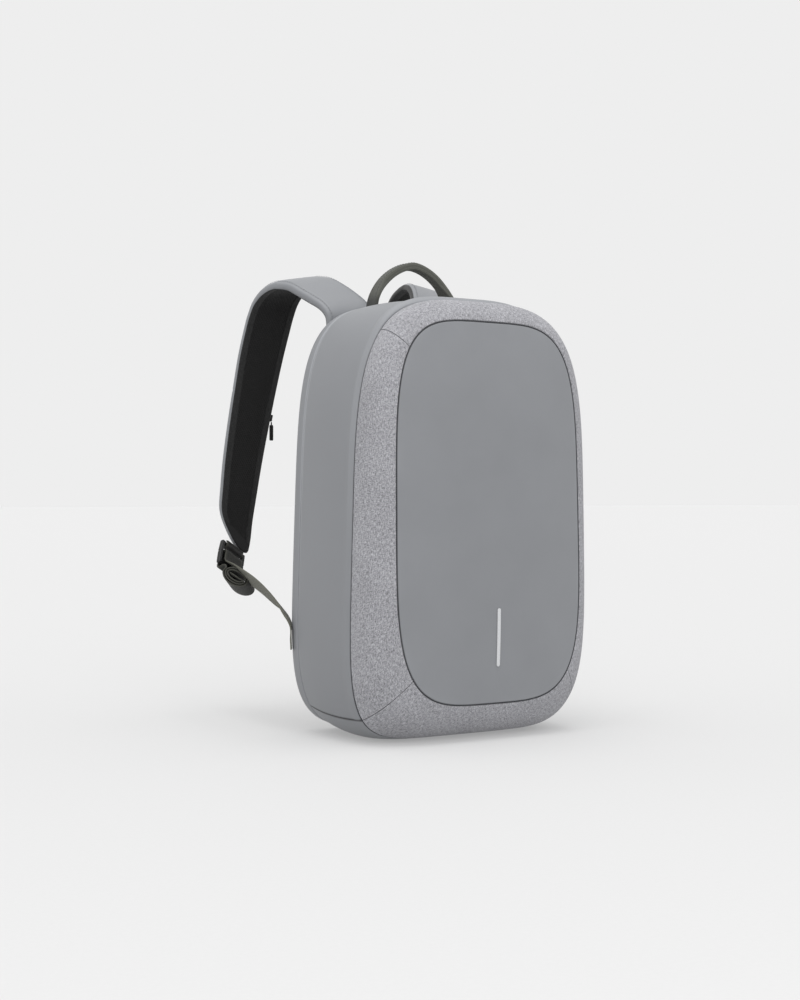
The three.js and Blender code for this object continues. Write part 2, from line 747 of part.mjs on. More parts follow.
const materials = {
  coatedFabric: new THREE.MeshStandardMaterial({ color: 0x85878a, roughness: 0.55 }),
  heatherFabric: new THREE.MeshStandardMaterial({ color: 0xa3a3a8, roughness: 0.95 }),
  seamTrim: new THREE.MeshStandardMaterial({ color: 0x4a4b4f, roughness: 0.7 }),
  meshFabric: new THREE.MeshStandardMaterial({ color: 0x1c1c1d, roughness: 0.95 }),
  handleWebbing: new THREE.MeshStandardMaterial({ color: 0x4b4c46, roughness: 0.85 }),
  strapWebbing: new THREE.MeshStandardMaterial({ color: 0x6b6b60, roughness: 0.85 }),
  buckleBlack: new THREE.MeshStandardMaterial({ color: 0x1f2020, roughness: 0.45 }),
  reflective: new THREE.MeshStandardMaterial({ color: 0xd2d3d4, roughness: 0.4 }),
};

const backpack = new THREE.Group();

function addPiece(name, geometry, material) {
  const mesh = new THREE.Mesh(geometry, material);
  mesh.name = name;
  backpack.add(mesh);
}

function addPair(name, geometry, material) {
  addPiece(`${name}_left`, geometry, material);
  addPiece(`${name}_right`, mirrored(geometry), material);
}

const { topRight, topLeft, baseLeft, baseRight } = mitres;
addPiece('front_panel', frontPanel(), materials.coatedFabric);
addPiece('reflective_strip', reflectiveStrip(), materials.reflective);
addPiece('panel_piping', piping(seams.panel, straightBack, (turn) => inwards(seams.panel, turn)), materials.seamTrim);
addPiece('border_top', borderPiece(topRight, topLeft), materials.heatherFabric);
addPiece('border_left', borderPiece(topLeft, baseLeft), materials.heatherFabric);
addPiece('border_bottom', borderPiece(baseLeft, baseRight), materials.heatherFabric);
addPiece('border_right', borderPiece(baseRight - fullTurn, topRight), materials.heatherFabric);
addPiece('border_piping', piping(seams.border, borderInwards, straightBack), materials.seamTrim);
addPiece('side_gusset', gussetPiece(baseRight - fullTurn, baseLeft, gussetWall, [0, 0.35, 0.65, 1]),
  materials.coatedFabric);
addPiece('base_panel', gussetPiece(baseLeft, baseRight, baseWall, [0, 0.12, 0.5, 0.88, 1]), materials.coatedFabric);
addPiece('back_rim', backRim(), materials.coatedFabric);
addPiece('back_panel', backPanel(), materials.coatedFabric);
addPiece('back_zip', backZip(), materials.seamTrim);
addPiece('back_pad', backPad(), materials.meshFabric);
addPiece('top_handle', topHandle(), materials.handleWebbing);
addPair('strap_cover', strapCover(), materials.coatedFabric);
addPair('strap_pad', strapPad(), materials.meshFabric);
addPair('buckle', buckle(), materials.buckleBlack);
addPair('buckle_tab', buckleTab(), materials.strapWebbing);
addPair('webbing', webbing(), materials.strapWebbing);
addPiece('strap_zip_slider', strapZipSlider(), materials.buckleBlack);
addPiece('strap_zip_pull', strapZipPull(), materials.buckleBlack);

export default backpack;
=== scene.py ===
import math

import bpy
import numpy as np
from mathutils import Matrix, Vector


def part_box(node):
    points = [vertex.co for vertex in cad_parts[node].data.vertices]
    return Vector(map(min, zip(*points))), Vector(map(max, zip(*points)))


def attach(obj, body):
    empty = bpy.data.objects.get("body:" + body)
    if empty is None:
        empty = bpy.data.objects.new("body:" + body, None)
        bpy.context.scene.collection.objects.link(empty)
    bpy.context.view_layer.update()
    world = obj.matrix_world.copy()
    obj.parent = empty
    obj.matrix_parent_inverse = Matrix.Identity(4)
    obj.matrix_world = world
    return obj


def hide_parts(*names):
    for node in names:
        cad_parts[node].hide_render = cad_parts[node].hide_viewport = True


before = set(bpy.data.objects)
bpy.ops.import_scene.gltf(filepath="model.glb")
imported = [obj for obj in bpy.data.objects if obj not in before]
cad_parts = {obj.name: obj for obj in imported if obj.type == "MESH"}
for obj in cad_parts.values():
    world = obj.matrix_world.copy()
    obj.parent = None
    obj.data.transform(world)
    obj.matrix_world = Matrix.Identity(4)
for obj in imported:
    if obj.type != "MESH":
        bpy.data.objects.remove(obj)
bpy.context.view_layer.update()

# Sizes in metres. The front faces -Y and +Z is up.
MM = 0.001
BODY_WIDTH = 254.4 * MM
BODY_HEIGHT = 400 * MM
BODY_DEPTH = 156 * MM
PANEL_WALL = 7 * MM
PANEL_DOME = 7 * MM
BORDER_WALL = 6 * MM
BORDER_BULGE = 8.4 * MM
GUSSET_WALL = 4 * MM
GUSSET_BULGE = 3.1 * MM
BASE_WALL = 5 * MM
BASE_BULGE = 6 * MM
RIM_WALL = 4 * MM
RIM_INSET = 13 * MM
RIM_DEPTH = 18 * MM
RIM_SQUARE = 3.5
BACK_WALL = 3 * MM

PIECE_GAP = 0.3 * MM
SEAM_SIDE = 0.55 * MM
SEAM_ROLL = 1.1 * MM
CREASE_ROLL = 0.5 * MM
MITRE_GAP = 0.35 * MM
MITRE_ROLL = 0.5 * MM
PIPING_RADIUS = 0.5 * MM
PIPING_SUNK = 0.75 * MM
TURN_REACH = 6 * MM
WELT_WIDTH = 6.5 * MM
WELT_FADE = 0.8 * MM
CROWN = 4.8

STRIP_WIDTH = 3.6 * MM
STRIP_THICKNESS = 0.6 * MM
STRIP_OFFSET = 3 * MM
STRIP_START = 0.5
STRIP_SPAN = 0.305
ZIP_WIDTH = 8 * MM
ZIP_THICKNESS = 0.7 * MM
TOOTH_PITCH = 1.6 * MM
PAD_THICKNESS = 5 * MM

HANDLE_SPAN = 90 * MM
HANDLE_RISE = 41 * MM
HANDLE_GRIP_WIDTH = 12 * MM
HANDLE_FOOT_WIDTH = 25 * MM
HANDLE_GRIP_THICKNESS = 7 * MM
HANDLE_FOOT_THICKNESS = 3.5 * MM
HANDLE_DEPTH = 55 * MM
HANDLE_LEAN = 1.7
HANDLE_TOE = 0.21

STRAP_SPACING = 102 * MM
STRAP_SPLAY = 38.9 * MM
STRAP_REACH = 161.2 * MM
STRAP_CREST_ABOVE = 24.4 * MM
STRAP_CLIMB = 72.4 * MM
STRAP_DROP = 255.4 * MM
STRAP_WIDTH = 56 * MM
STRAP_THICKNESS = 8 * MM
COVER_THICKNESS = 2.2 * MM
COVER_LIP = 0.06
STRAP_STEPS = 14
SEAM_ROW = 16
ZIP_ROW = 16
TAPER_LENGTH = 44 * MM
TAPER_SHARE = 0.57
TAPER_CURVE = 2.9
TIP_CORNER = 6 * MM
STRAP_SQUARE = 2 / 5.5
BINDING_WIDTH = 7 * MM
PATCH_LENGTH = 21 * MM
PATCH_SLOPE = 13 * MM
STITCH_INSET = 4.5 * MM

WEBBING_WIDTH = 25 * MM
WEBBING_THICKNESS = 1.5 * MM
WEBBING_ARCH = 10 * MM
WEBBING_STEPS = 8
ANCHOR_LENGTH = 20 * MM
ANCHOR_WIDTH = 14 * MM
ANCHOR_TURN = math.radians(203.5)
ANCHOR_SHARE = 0.48
BUCKLE_HEIGHT = 27 * MM
BUCKLE_THICKNESS = 4 * MM
BAR_HEIGHT = 4 * MM
RAIL_WIDTH = 4.5 * MM
SLOT_CLEARANCE = 1 * MM
BUCKLE_HANG = 16.5 * MM
BUCKLE_SWING = math.radians(24)
ROLL_RADIUS = 10.3 * MM
ROLL_FLAT = 5.8 * MM
ROLL_HANG = 32 * MM
ROLL_BACK = 18 * MM
ROLL_SLOPE = math.radians(38)
ROLL_PITCH = 2.4 * MM
ROLL_TURNS = 2.5
ROLL_YAW = math.radians(26)
ROLL_LIFT = math.radians(12)

SLIDER_SIZE = (4 * MM, 4 * MM, 7 * MM)
PULL_SIZE = (4.5 * MM, 1.5 * MM, 19 * MM)

# The body's seams from front to back: shares of its width, height and depth, and corner exponents.
SEAMS = {
    "panel": dict(width=(0.813, 0.787), rise=(0.0835, 0.940), depth=(-0.479, -0.434), square=(4.06, 4.2)),
    "border": dict(width=(1.0, 0.943), rise=(0.005, 0.990), depth=(-0.195, -0.236), square=(6.12, 3.59)),
    "back": dict(width=(0.989, 0.919), rise=(0.004, 0.996), depth=(0.521, 0.466), square=(5.07, 4.08)),
    "pad": dict(width=(0.72, 0.66), rise=(0.13, 0.865), depth=(0.521, 0.466), square=(4.5, 4.5)),
}
CORNER_CROWDING = 0.45
MITRE_LEAN = math.radians(5.5)
FULL = 2 * math.pi
MITRES = {name: math.radians(angle) for name, angle in
          dict(top_right=44.5, top_left=135.5, base_left=226, base_right=314).items()}
SIDEWAYS = np.array([1.0, 0.0, 0.0])
BACKWARDS = np.array([0.0, 1.0, 0.0])
UPWARDS = np.array([0.0, 0.0, 1.0])


# Small vector helpers
def mix(a, b, share):
    return a + (b - a) * share


def unit(vectors):
    return vectors / np.maximum(np.linalg.norm(vectors, axis=-1, keepdims=True), 1e-12)


def smooth(value, low, high):
    share = np.clip((value - low) / (high - low), 0, 1)
    return share * share * (3 - 2 * share)


def whole_turn(steps):
    """Angles all the way round, in equal steps."""
    return np.arange(steps) / steps * FULL


def ease_in(steps):
    """Shares from 0 to 1, close together near 0."""
    return 1 - np.cos(np.linspace(0, math.pi / 2, steps))


def arc_lengths(path):
    steps = np.linalg.norm(np.diff(path, axis=0), axis=-1)
    return np.concatenate([[0], np.cumsum(steps)])


def tangents(path):
    return unit(np.gradient(path, axis=0))


def spline(rows, steps):
    """Smooth values through rows, with steps between each two of them."""
    rows = np.asarray(rows, float)
    padded = np.vstack([2 * rows[0] - rows[1], rows, 2 * rows[-1] - rows[-2]])
    share = np.linspace(0, 1, steps, endpoint=False)[:, None]
    out = []
    for a, b, c, d in zip(padded, padded[1:], padded[2:], padded[3:]):
        out.append(0.5 * (2 * b + (c - a) * share + (2 * a - 5 * b + 4 * c - d) * share ** 2
                          + (3 * b - 3 * c + d - a) * share ** 3))
    return np.vstack(out + [rows[-1:]])


# The body's surfaces
def outline(seam, turn):
    turn = np.asarray(turn, float)
    angle = turn + CORNER_CROWDING / 4 * np.sin(4 * turn)
    cos, sin = np.cos(angle), np.sin(angle)
    square = np.where(sin >= 0, seam["square"][1], seam["square"][0])
    reach = (np.abs(cos) ** square + np.abs(sin) ** square) ** (-1 / square)
    rise = (1 + reach * sin) / 2
    return np.stack([
        0.5 * BODY_WIDTH * mix(*seam["width"], rise) * reach * cos,
        BODY_DEPTH * mix(*seam["depth"], rise),
        BODY_HEIGHT * mix(*seam["rise"], rise),
    ], axis=-1)


def along_outline(seam, turn):
    step = 0.002
    return (outline(seam, turn + step) - outline(seam, turn - step)) / (2 * step)


def inwards(seam, turn):
    return unit(np.cross(along_outline(seam, turn), BACKWARDS))


def crease_point(turn):
    return outline(SEAMS["back"], turn) - RIM_DEPTH * BACKWARDS


def back_edge(turn, inset):
    return outline(SEAMS["back"], turn) + inset * inwards(SEAMS["back"], turn)


def back_face(z):
    low, high = SEAMS["back"]["rise"]
    return BODY_DEPTH * mix(*SEAMS["back"]["depth"], (z / BODY_HEIGHT - low) / (high - low))


def swollen(near, far, along, bulge, share):
    out = unit(np.cross(far - near, along))
    lift = 4 * share * (1 - share) * bulge
    return mix(near, far, share[..., None]) + out * lift[..., None]


def border_surface(turn, share):
    border = SEAMS["border"]
    leant = turn + MITRE_LEAN * np.sin(2 * turn) * np.maximum(np.sin(turn), 0)
    return swollen(outline(SEAMS["panel"], turn), outline(border, leant), along_outline(border, leant),
                   BORDER_BULGE, share)


def gusset_surface(turn, share):
    border = SEAMS["border"]
    under = np.maximum(0, -np.sin(turn)) ** 4
    bulge = mix(GUSSET_BULGE, BASE_BULGE, under)
    points = swollen(outline(border, turn), crease_point(turn), along_outline(border, turn), bulge, share)
    points[..., 2] = np.maximum(points[..., 2], 0)
    return points


def rim_drop(share):
    return RIM_INSET * (1 - np.maximum(1 - share ** RIM_SQUARE, 0) ** (1 / RIM_SQUARE))


def rim_surface(turn, share):
    cos, sin = np.cos(share * math.pi / 2), np.sin(share * math.pi / 2)
    back = sin * (np.abs(cos) ** RIM_SQUARE + sin ** RIM_SQUARE) ** (-1 / RIM_SQUARE)
    return (crease_point(turn) + rim_drop(back)[..., None] * inwards(SEAMS["back"], turn)
            + RIM_DEPTH * back[..., None] * BACKWARDS)


def inward_normal(surface, turn, share):
    step = 0.01
    low, high = np.maximum(share - step, 0), np.minimum(share + step, 1)
    along = surface(turn + step, share) - surface(turn - step, share)
    return unit(np.cross(along, surface(turn, high) - surface(turn, low)))


# Meshes
def add_object(name, data):
    thing = bpy.data.objects.new(name, data)
    bpy.context.scene.collection.objects.link(thing)
    return thing


def make_mesh(name, points, faces, uvs, material, marks=None):
    """A smooth-shaded mesh. The cloth coordinates are in metres, one pair for each face corner."""
    mesh = bpy.data.meshes.new(name)
    corners = faces if isinstance(faces, list) else faces.tolist()
    mesh.from_pydata(np.asarray(points).reshape(-1, 3).tolist(), [], corners)
    if uvs is not None:
        layer = mesh.uv_layers.new(name="cloth")
        layer.data.foreach_set("uv", np.asarray(uvs, float).ravel())
    for mark, values in (marks or {}).items():
        attribute = mesh.attributes.new(mark, "FLOAT", "POINT")
        attribute.data.foreach_set("value", np.asarray(values, float).ravel())
    mesh.polygons.foreach_set("use_smooth", [True] * len(mesh.polygons))
    mesh.materials.append(material)
    mesh.validate()
    mesh.update()
    return add_object(name, mesh)


def band(name, outer, inner, closed, material, marks=None, turned=False):
    """A closed solid between two grids of points that run along its length (rows) and across (columns)."""
    rows, across = outer.shape[:2]
    ring = 2 * across
    grid = np.concatenate([outer, inner[:, ::-1]], axis=1)
    loop = np.concatenate([outer, outer[:1]]) if closed else outer
    along = arc_lengths(loop[:, across // 2])
    sideways = arc_lengths(outer[rows // 2])
    sideways = np.concatenate([sideways, sideways[::-1]])
    spans = rows if closed else rows - 1
    i, j = (axis.ravel() for axis in np.meshgrid(np.arange(spans), np.arange(ring), indexing="ij"))
    k, following = (j + 1) % ring, (i + 1) % rows
    quads = np.stack([i * ring + j, i * ring + k, following * ring + k, following * ring + j], axis=1)
    uvs = np.stack([
        np.stack([along[i], sideways[j]], -1), np.stack([along[i], sideways[k]], -1),
        np.stack([along[i + 1], sideways[k]], -1), np.stack([along[i + 1], sideways[j]], -1),
    ], axis=1)
    faces, corners = [quads], [uvs]
    if not closed:
        j = np.arange(across - 1)
        facing = ring - 1 - j
        last = (rows - 1) * ring
        for quad in (np.stack([j, facing, facing - 1, j + 1], 1),
                     last + np.stack([j, j + 1, facing - 1, facing], 1)):
            faces.append(quad)
            corners.append(np.zeros((len(j), 4, 2)))
    faces, corners = np.concatenate(faces), np.concatenate(corners)
    flat = grid.reshape(-1, 3)
    a, b, c = (flat[faces[:, n]] for n in range(3))
    if np.einsum("ij,ij->i", a, np.cross(b, c)).sum() < 0:
        faces, corners = faces[:, ::-1], corners[:, ::-1]
    if turned:
        corners = corners[..., ::-1]
    spread = {mark: np.concatenate([values, values[:, ::-1]], axis=1)
              for mark, values in (marks or {}).items()}
    return make_mesh(name, flat, faces, corners, material, spread)


def ring_faces(rings, count, first=0):
    """The faces between each two neighbours of some rings of points."""
    faces = []
    for start in range(first, first + (rings - 1) * count, count):
        for i in range(count):
            k = (i + 1) % count
            faces.append([start + i, start + k, start + count + k, start + count + i])
    return faces


def bar_faces(rings, count):
    """The ends and sides of a bar that is made of rings of points."""
    last = (rings - 1) * count
    return [list(range(count))[::-1], list(range(last, last + count))] + ring_faces(rings, count)


def edge_spread(length, edge, steps, edge_steps=6):
    """Distances from 0 to length, close together within edge of both ends."""
    near = edge * ease_in(edge_steps)
    return np.concatenate([near[:-1], np.linspace(edge, length - edge, steps), (length - near[::-1])[1:]])


def roll_drop(distance, roll):
    """How far a rounded edge lies below its surface at a distance from it."""
    inside = np.clip(roll - distance, 0, roll)
    return roll - np.sqrt(roll ** 2 - inside ** 2)


def patch_turns(seam, start, end, steps):
    """Turns between two cross seams, half a mitre gap short of each and close together near them."""
    pace = [np.linalg.norm(along_outline(seam, turn)) for turn in (start, end)]
    first, last = start + MITRE_GAP / 2 / pace[0], end - MITRE_GAP / 2 / pace[1]
    return first + edge_spread(last - first, MITRE_ROLL / min(pace), steps, 5)


def shell(name, surface, turns, wall, directions, rolls, material, closed=False, rows=26, relief=None,
          turned=False, clear=(SEAM_SIDE, SEAM_SIDE), welt_highlight=None):
    """A wall below a surface, with rounded edges along both seams, a painted highlight on the strip beside
    the first and another along the crease.
    """
    turn = turns[:, None]
    coarse = surface(turn, np.linspace(0, 1, 9)[None] + 0 * turn)
    lengths = np.linalg.norm(np.diff(coarse, axis=1), axis=-1).sum(axis=1)[:, None]
    free = lengths[len(turns) // 2, 0] - sum(clear)
    near_gap = edge_spread(free, max(rolls), rows)[None] + 0 * turn
    far_gap = free - near_gap
    share = (clear[0] + near_gap / free * (lengths - sum(clear))) / lengths
    base = surface(turn, share)
    inward = inward_normal(surface, turn, share)
    for direction, gap in zip(directions, (near_gap, far_gap)):
        inward = mix(inward, direction(turn), (1 - smooth(gap, 0, TURN_REACH))[..., None])
    inward = unit(inward)
    depth = roll_drop(near_gap, rolls[0]) + roll_drop(far_gap, rolls[1])
    if not closed:
        ends = [np.linalg.norm(base - base[n:n + 1 or None][:1], axis=-1) for n in (0, -1)]
        depth = depth + sum(roll_drop(end, MITRE_ROLL) for end in ends)
    if relief is not None:
        depth = depth - relief(near_gap, far_gap, base)
    seam = 1 - smooth(np.minimum(near_gap, far_gap), 0, 9 * MM)
    # Painted highlight: the strip beside the first seam and the line along the crease are painted lighter,
    # more so towards the top where the light falls.
    lit_from_above = 0.2 + 0.8 * smooth(base[..., 2], 0.3 * BODY_HEIGHT, 0.7 * BODY_HEIGHT)
    welt_highlight_mask = lit_from_above * (1 - smooth(near_gap, welt_highlight - WELT_FADE, welt_highlight + WELT_FADE)) if welt_highlight else 0 * near_gap
    to_end = 0 * near_gap + MM if closed else np.minimum(*ends)
    marks = {"seam": seam, "welt_highlight": welt_highlight_mask,
             "crease": lit_from_above * (1 - smooth(near_gap if closed else far_gap, 0.9 * MM, 1.7 * MM)),
             "sewn": 1 - smooth(to_end, 0.45 * MM, 0.75 * MM)}
    outer = base + depth[..., None] * inward
    inner = base + wall * inward
    return band(name, outer, inner, closed, material, marks, turned)


def plate(name, rim, inward, facing, lift, back_lift, roll, material, rows=34, relief=None):
    """A closed plate inside a rim, with a rounded edge."""
    count = len(rim)
    middle = rim.mean(axis=0)
    edge = roll * ease_in(6)
    rings = [rim + inward * gap + facing * -roll_drop(gap, roll) for gap in edge]
    held = rings[-1]
    shares = (1 - np.linspace(0, 1, rows) ** 1.35)[1:-1]
    rings += [middle + (held - middle) * share + facing * lift(share) for share in shares]
    outer = np.concatenate(rings + [(middle + facing * lift(0.0))[None]])
    if relief is not None:
        outer = outer + facing * relief(outer)[:, None]
    back = [rim + facing * back_lift(1.0)] + [middle + (rim - middle) * share + facing * back_lift(share)
                                              for share in (0.85, 0.6, 0.3)]
    inner = np.concatenate(back + [(middle + facing * back_lift(0.0))[None]])
    points = np.concatenate([outer, inner])

    def sheet(first, ring_count):
        last = first + (ring_count - 1) * count
        fan = [[last + i, last + (i + 1) % count, last + count] for i in range(count)]
        return ring_faces(ring_count, count, first) + fan

    side = [[(i + 1) % count, i, len(outer) + i, len(outer) + (i + 1) % count] for i in range(count)]
    faces = sheet(0, len(rings)) + [face[::-1] for face in sheet(len(outer), len(back))] + side
    flat = [index for face in faces for index in face]
    uvs = points[flat][:, [0, 2]]
    distance = np.full(len(points), 1.0)
    for ring in range(len(rings)):
        distance[ring * count:(ring + 1) * count] = np.linalg.norm(rings[ring] - rings[0], axis=-1)
    piece = make_mesh(name, points, faces, uvs, material, {"seam": 1 - smooth(distance, 0, 9 * MM)})
    face = piece.data.polygons[0]
    if face.normal.dot(tuple(facing + 0.6 * -inward[0])) < 0:
        piece.data.flip_normals()
    return piece


def merged(name, parts, material):
    """One mesh from many copies: each part is (points, faces)."""
    points, faces, first = [], [], 0
    for part_points, part_faces in parts:
        points.append(part_points)
        faces += [[first + index for index in face] for face in part_faces]
        first += len(part_points)
    points = np.concatenate(points)
    flat = [index for face in faces for index in face]
    return make_mesh(name, points, faces, points[flat][:, [0, 2]], material)


def capsule(start, end, up, radius):
    """A short thread between two places, thinner at its ends."""
    along = end - start
    side = unit(np.cross(along, up))
    up = unit(np.cross(side, along))
    points = []
    for share, size in ((0, 0.35), (0.12, 0.85), (0.5, 1.0), (0.88, 0.85), (1, 0.35)):
        for corner in range(6):
            angle = corner / 6 * FULL
            lift = radius * size * (0.75 * math.sin(angle)) - radius * (1 - size)
            points.append(start + along * share + side * radius * size * math.cos(angle) + up * lift)
    return np.array(points), [face[::-1] for face in bar_faces(5, 6)]


def on_path(values, arc, at):
    return np.array([np.interp(at, arc, values[:, n]) for n in range(3)])


def stitch_parts(path, normals, pitch=3.2 * MM, length=2.4 * MM, radius=0.28 * MM, lift=0.12 * MM):
    """A row of stitches along a path that lies on cloth."""
    arc = arc_lengths(path)
    parts = []
    for start in np.arange(pitch / 2, arc[-1] - length, pitch):
        ends = [on_path(path, arc, at) for at in (start, start + length)]
        normal = unit(on_path(normals, arc, start))
        parts.append(capsule(ends[0] + lift * normal, ends[1] + lift * normal, normal, radius))
    return parts


def remeshed(piece, voxel, smoothing=4):
    """Fuses a piece's overlapping bars into one moulded skin with soft edges."""
    remesh = piece.modifiers.new("fuse", "REMESH")
    remesh.mode = "VOXEL"
    remesh.voxel_size = voxel
    relax = piece.modifiers.new("relax", "SMOOTH")
    relax.iterations = smoothing
    relax.factor = 0.5
    shaped = piece.evaluated_get(bpy.context.evaluated_depsgraph_get())
    mesh = bpy.data.meshes.new_from_object(shaped)
    piece.modifiers.clear()
    piece.data = mesh
    mesh.polygons.foreach_set("use_smooth", [True] * len(mesh.polygons))
    return piece


def mirrored(piece, name):
    """The same piece for the other strap."""
    mesh = piece.data.copy()
    mesh.transform(((-1, 0, 0, 0), (0, 1, 0, 0), (0, 0, 1, 0), (0, 0, 0, 1)))
    mesh.flip_normals()
    return add_object(name, mesh)


# Materials
class Shader:
    """A material's nodes, with short calls for the ones used here."""

    def __init__(self, name, roughness, **sockets):
        self.material = bpy.data.materials.new(name)
        self.material.use_nodes = True
        self.tree = self.material.node_tree
        self.surface = self.tree.nodes["Principled BSDF"]
        self.surface.inputs["Roughness"].default_value = roughness
        for socket, value in sockets.items():
            self.surface.inputs[socket.replace("_", " ")].default_value = value

    def node(self, kind, inputs=None, **settings):
        made = self.tree.nodes.new("ShaderNode" + kind)
        for key, value in settings.items():
            setattr(made, key, value)
        for key, value in (inputs or {}).items():
            self.feed(made.inputs[key], value)
        return made

    def feed(self, socket, value):
        if isinstance(value, bpy.types.NodeSocket):
            self.tree.links.new(value, socket)
        else:
            socket.default_value = value

    def cloth(self, across=1 / MM, along=1 / MM):
        """The cloth coordinates, in millimetres unless other scales are given."""
        uv = self.node("UVMap", uv_map="cloth")
        return self.node("Mapping", {"Vector": uv.outputs[0], "Scale": (along, across, 1)}).outputs[0]

    def place(self):
        return self.node("TexCoord").outputs["Object"]

    def mark(self, name):
        return self.node("Attribute", attribute_name=name).outputs["Fac"]

    def noise(self, vector, scale, detail=2.0, roughness=0.5):
        return self.node("TexNoise", {"Vector": vector, "Scale": scale, "Detail": detail,
                                      "Roughness": roughness}).outputs["Fac"]

    def math(self, operation, a, b=0.0, c=0.0):
        made = self.node("Math", operation=operation)
        for socket, value in zip(made.inputs, (a, b, c)):
            self.feed(socket, value)
        return made.outputs[0]

    def times(self, a, b):
        return self.math("MULTIPLY", a, b)

    def plus(self, a, b):
        return self.math("ADD", a, b)

    def wave(self, vector, scale, direction, distortion, **inputs):
        return self.node("TexWave", {"Vector": vector, "Scale": scale, "Distortion": distortion, **inputs},
                         bands_direction=direction).outputs["Fac"]

    def cells(self, vector, scale, randomness=1.0):
        return self.node("TexVoronoi", {"Vector": vector, "Scale": scale, "Randomness": randomness},
                         feature="F1").outputs["Distance"]

    def grey(self, value):
        return self.node("CombineColor", {"Red": value, "Green": value, "Blue": value}).outputs[0]

    def remap(self, value, low, high, to_low, to_high):
        return self.node("MapRange", {"Value": value, "From Min": low, "From Max": high,
                                      "To Min": to_low, "To Max": to_high}).outputs[0]

    def ramp(self, value, *stops):
        made = self.node("ValToRGB", {"Fac": value})
        ramp = made.color_ramp
        while len(ramp.elements) < len(stops):
            ramp.elements.new(0.5)
        for element, (position, colour) in zip(ramp.elements, stops):
            element.position = position
            element.color = (*colour, 1)
        return made.outputs[0]

    def blend(self, share, a, b, mode="MIX"):
        made = self.node("Mix", data_type="RGBA", blend_type=mode)
        self.feed(made.inputs[0], share)
        for socket, value in ((made.inputs[6], a), (made.inputs[7], b)):
            self.feed(socket, (*value, 1) if isinstance(value, tuple) else value)
        return made.outputs[2]

    def finish(self, colour, height=None, distance=0.1 * MM, strength=1.0, roughness=None):
        self.feed(self.surface.inputs["Base Color"], colour)
        if roughness is not None:
            self.feed(self.surface.inputs["Roughness"], roughness)
        if height is not None:
            bump = self.node("Bump", {"Height": height, "Distance": distance, "Strength": strength})
            self.feed(self.surface.inputs["Normal"], bump.outputs[0])
        return self.material


def shade(colour, factor):
    return tuple(channel * factor for channel in colour)


SKY = 0.855
FLOOR_GLOW = 0.28
LAMPS_ON_FLOOR = 0.5
LAMP_SPREAD = 3.03
COATED = (0.223, 0.230, 0.244)
HEATHER = (0.342, 0.342, 0.364)
BLACK = (0.0085, 0.0085, 0.0086)
WEBBING = (0.118, 0.118, 0.094)
HANDLE = (0.085, 0.087, 0.075)


def coated_fabric():
    shader = Shader("coated_fabric", 0.52, Specular_IOR_Level=0.42, Sheen_Weight=0.06, Sheen_Roughness=0.5)
    cloth = shader.cloth()
    yarn = shader.noise(cloth, 2.6, 1.0)
    ribs = shader.wave(cloth, 0.55, "Y", 0.6, **{"Detail Scale": 3.0})
    mottle = shader.noise(shader.place(), 22.0, 3.0)
    blotch = shader.noise(shader.place(), 5.0, 1.0)
    tone = shader.plus(shader.times(mottle, 0.5), shader.times(blotch, 0.5))
    colour = shader.ramp(tone, (0.3, shade(COATED, 0.94)), (0.7, shade(COATED, 1.05)))
    grain = shader.remap(yarn, 0.25, 0.75, 0.96, 1.03)
    colour = shader.blend(1.0, colour, shader.grey(grain), "MULTIPLY")
    worn = shader.times(shader.mark("seam"), shader.remap(mottle, 0.4, 0.7, 0.0, 0.10))
    colour = shader.blend(worn, colour, shade(COATED, 1.5))
    # Painted highlights beside the border seam and along the back crease; the strap cover's inner side is
    # coloured black and the cross seams darker.
    for mark, share, paint in (("welt_highlight", 0.22, shade(COATED, 1.6)), ("crease", 0.45, shade(COATED, 1.9)),
                               ("dark_inner_side", 1.0, shade(BLACK, 2.0)), ("sewn", 0.85, shade(COATED, 0.16))):
        colour = shader.blend(shader.times(shader.mark(mark), share), colour, paint)
    height = shader.plus(shader.times(yarn, 0.7), shader.times(ribs, 0.3))
    return shader.finish(colour, height, 0.06 * MM, 0.6, shader.remap(mottle, 0.3, 0.7, 0.47, 0.57))


def heather_fabric():
    shader = Shader("heather_fabric", 0.92, Specular_IOR_Level=0.25, Sheen_Weight=0.12,
                    Sheen_Roughness=0.45)
    warp = shader.noise(shader.cloth(1 / (0.75 * MM), 1 / (3.4 * MM)), 1.0, 2.0, 0.6)
    weft = shader.noise(shader.cloth(1 / (3.4 * MM), 1 / (0.75 * MM)), 1.0, 2.0, 0.6)
    fleck = shader.noise(shader.cloth(), 1.45, 2.0, 0.65)
    cloud = shader.noise(shader.place(), 34.0, 3.0)
    blend = shader.plus(shader.times(warp, 0.36), shader.times(weft, 0.30))
    blend = shader.plus(blend, shader.times(fleck, 0.34))
    colour = shader.ramp(blend, (0.36, shade(HEATHER, 0.26)), (0.44, shade(HEATHER, 0.64)),
                         (0.51, shade(HEATHER, 1.0)), (0.58, shade(HEATHER, 1.44)),
                         (0.66, shade(HEATHER, 1.8)))
    tone = shader.remap(cloud, 0.3, 0.7, 0.93, 1.06)
    colour = shader.blend(1.0, colour, shader.grey(tone), "MULTIPLY")
    threads = shader.cloth()
    weave = shader.times(*(shader.wave(threads, 0.42, way, 1.2, Detail=1.0) for way in "XY"))
    height = shader.plus(weave, shader.times(blend, 1.2))
    return shader.finish(colour, height, 0.22 * MM, 0.8)


def seam_trim():
    shader = Shader("seam_trim", 0.8, Specular_IOR_Level=0.3)
    twist = shader.wave(shader.cloth(), 0.32, "DIAGONAL", 0.4)
    colour = shader.ramp(twist, (0.2, (0.030, 0.031, 0.034)), (0.8, (0.085, 0.087, 0.094)))
    return shader.finish(colour, twist, 0.15 * MM, 0.8)


def thread(name, dark, light):
    shader = Shader(name, 0.75, Specular_IOR_Level=0.3)
    strands = shader.noise(shader.place(), 2600.0, 2.0)
    return shader.finish(shader.ramp(strands, (0.35, dark), (0.65, light)), strands, 0.05 * MM, 0.6)


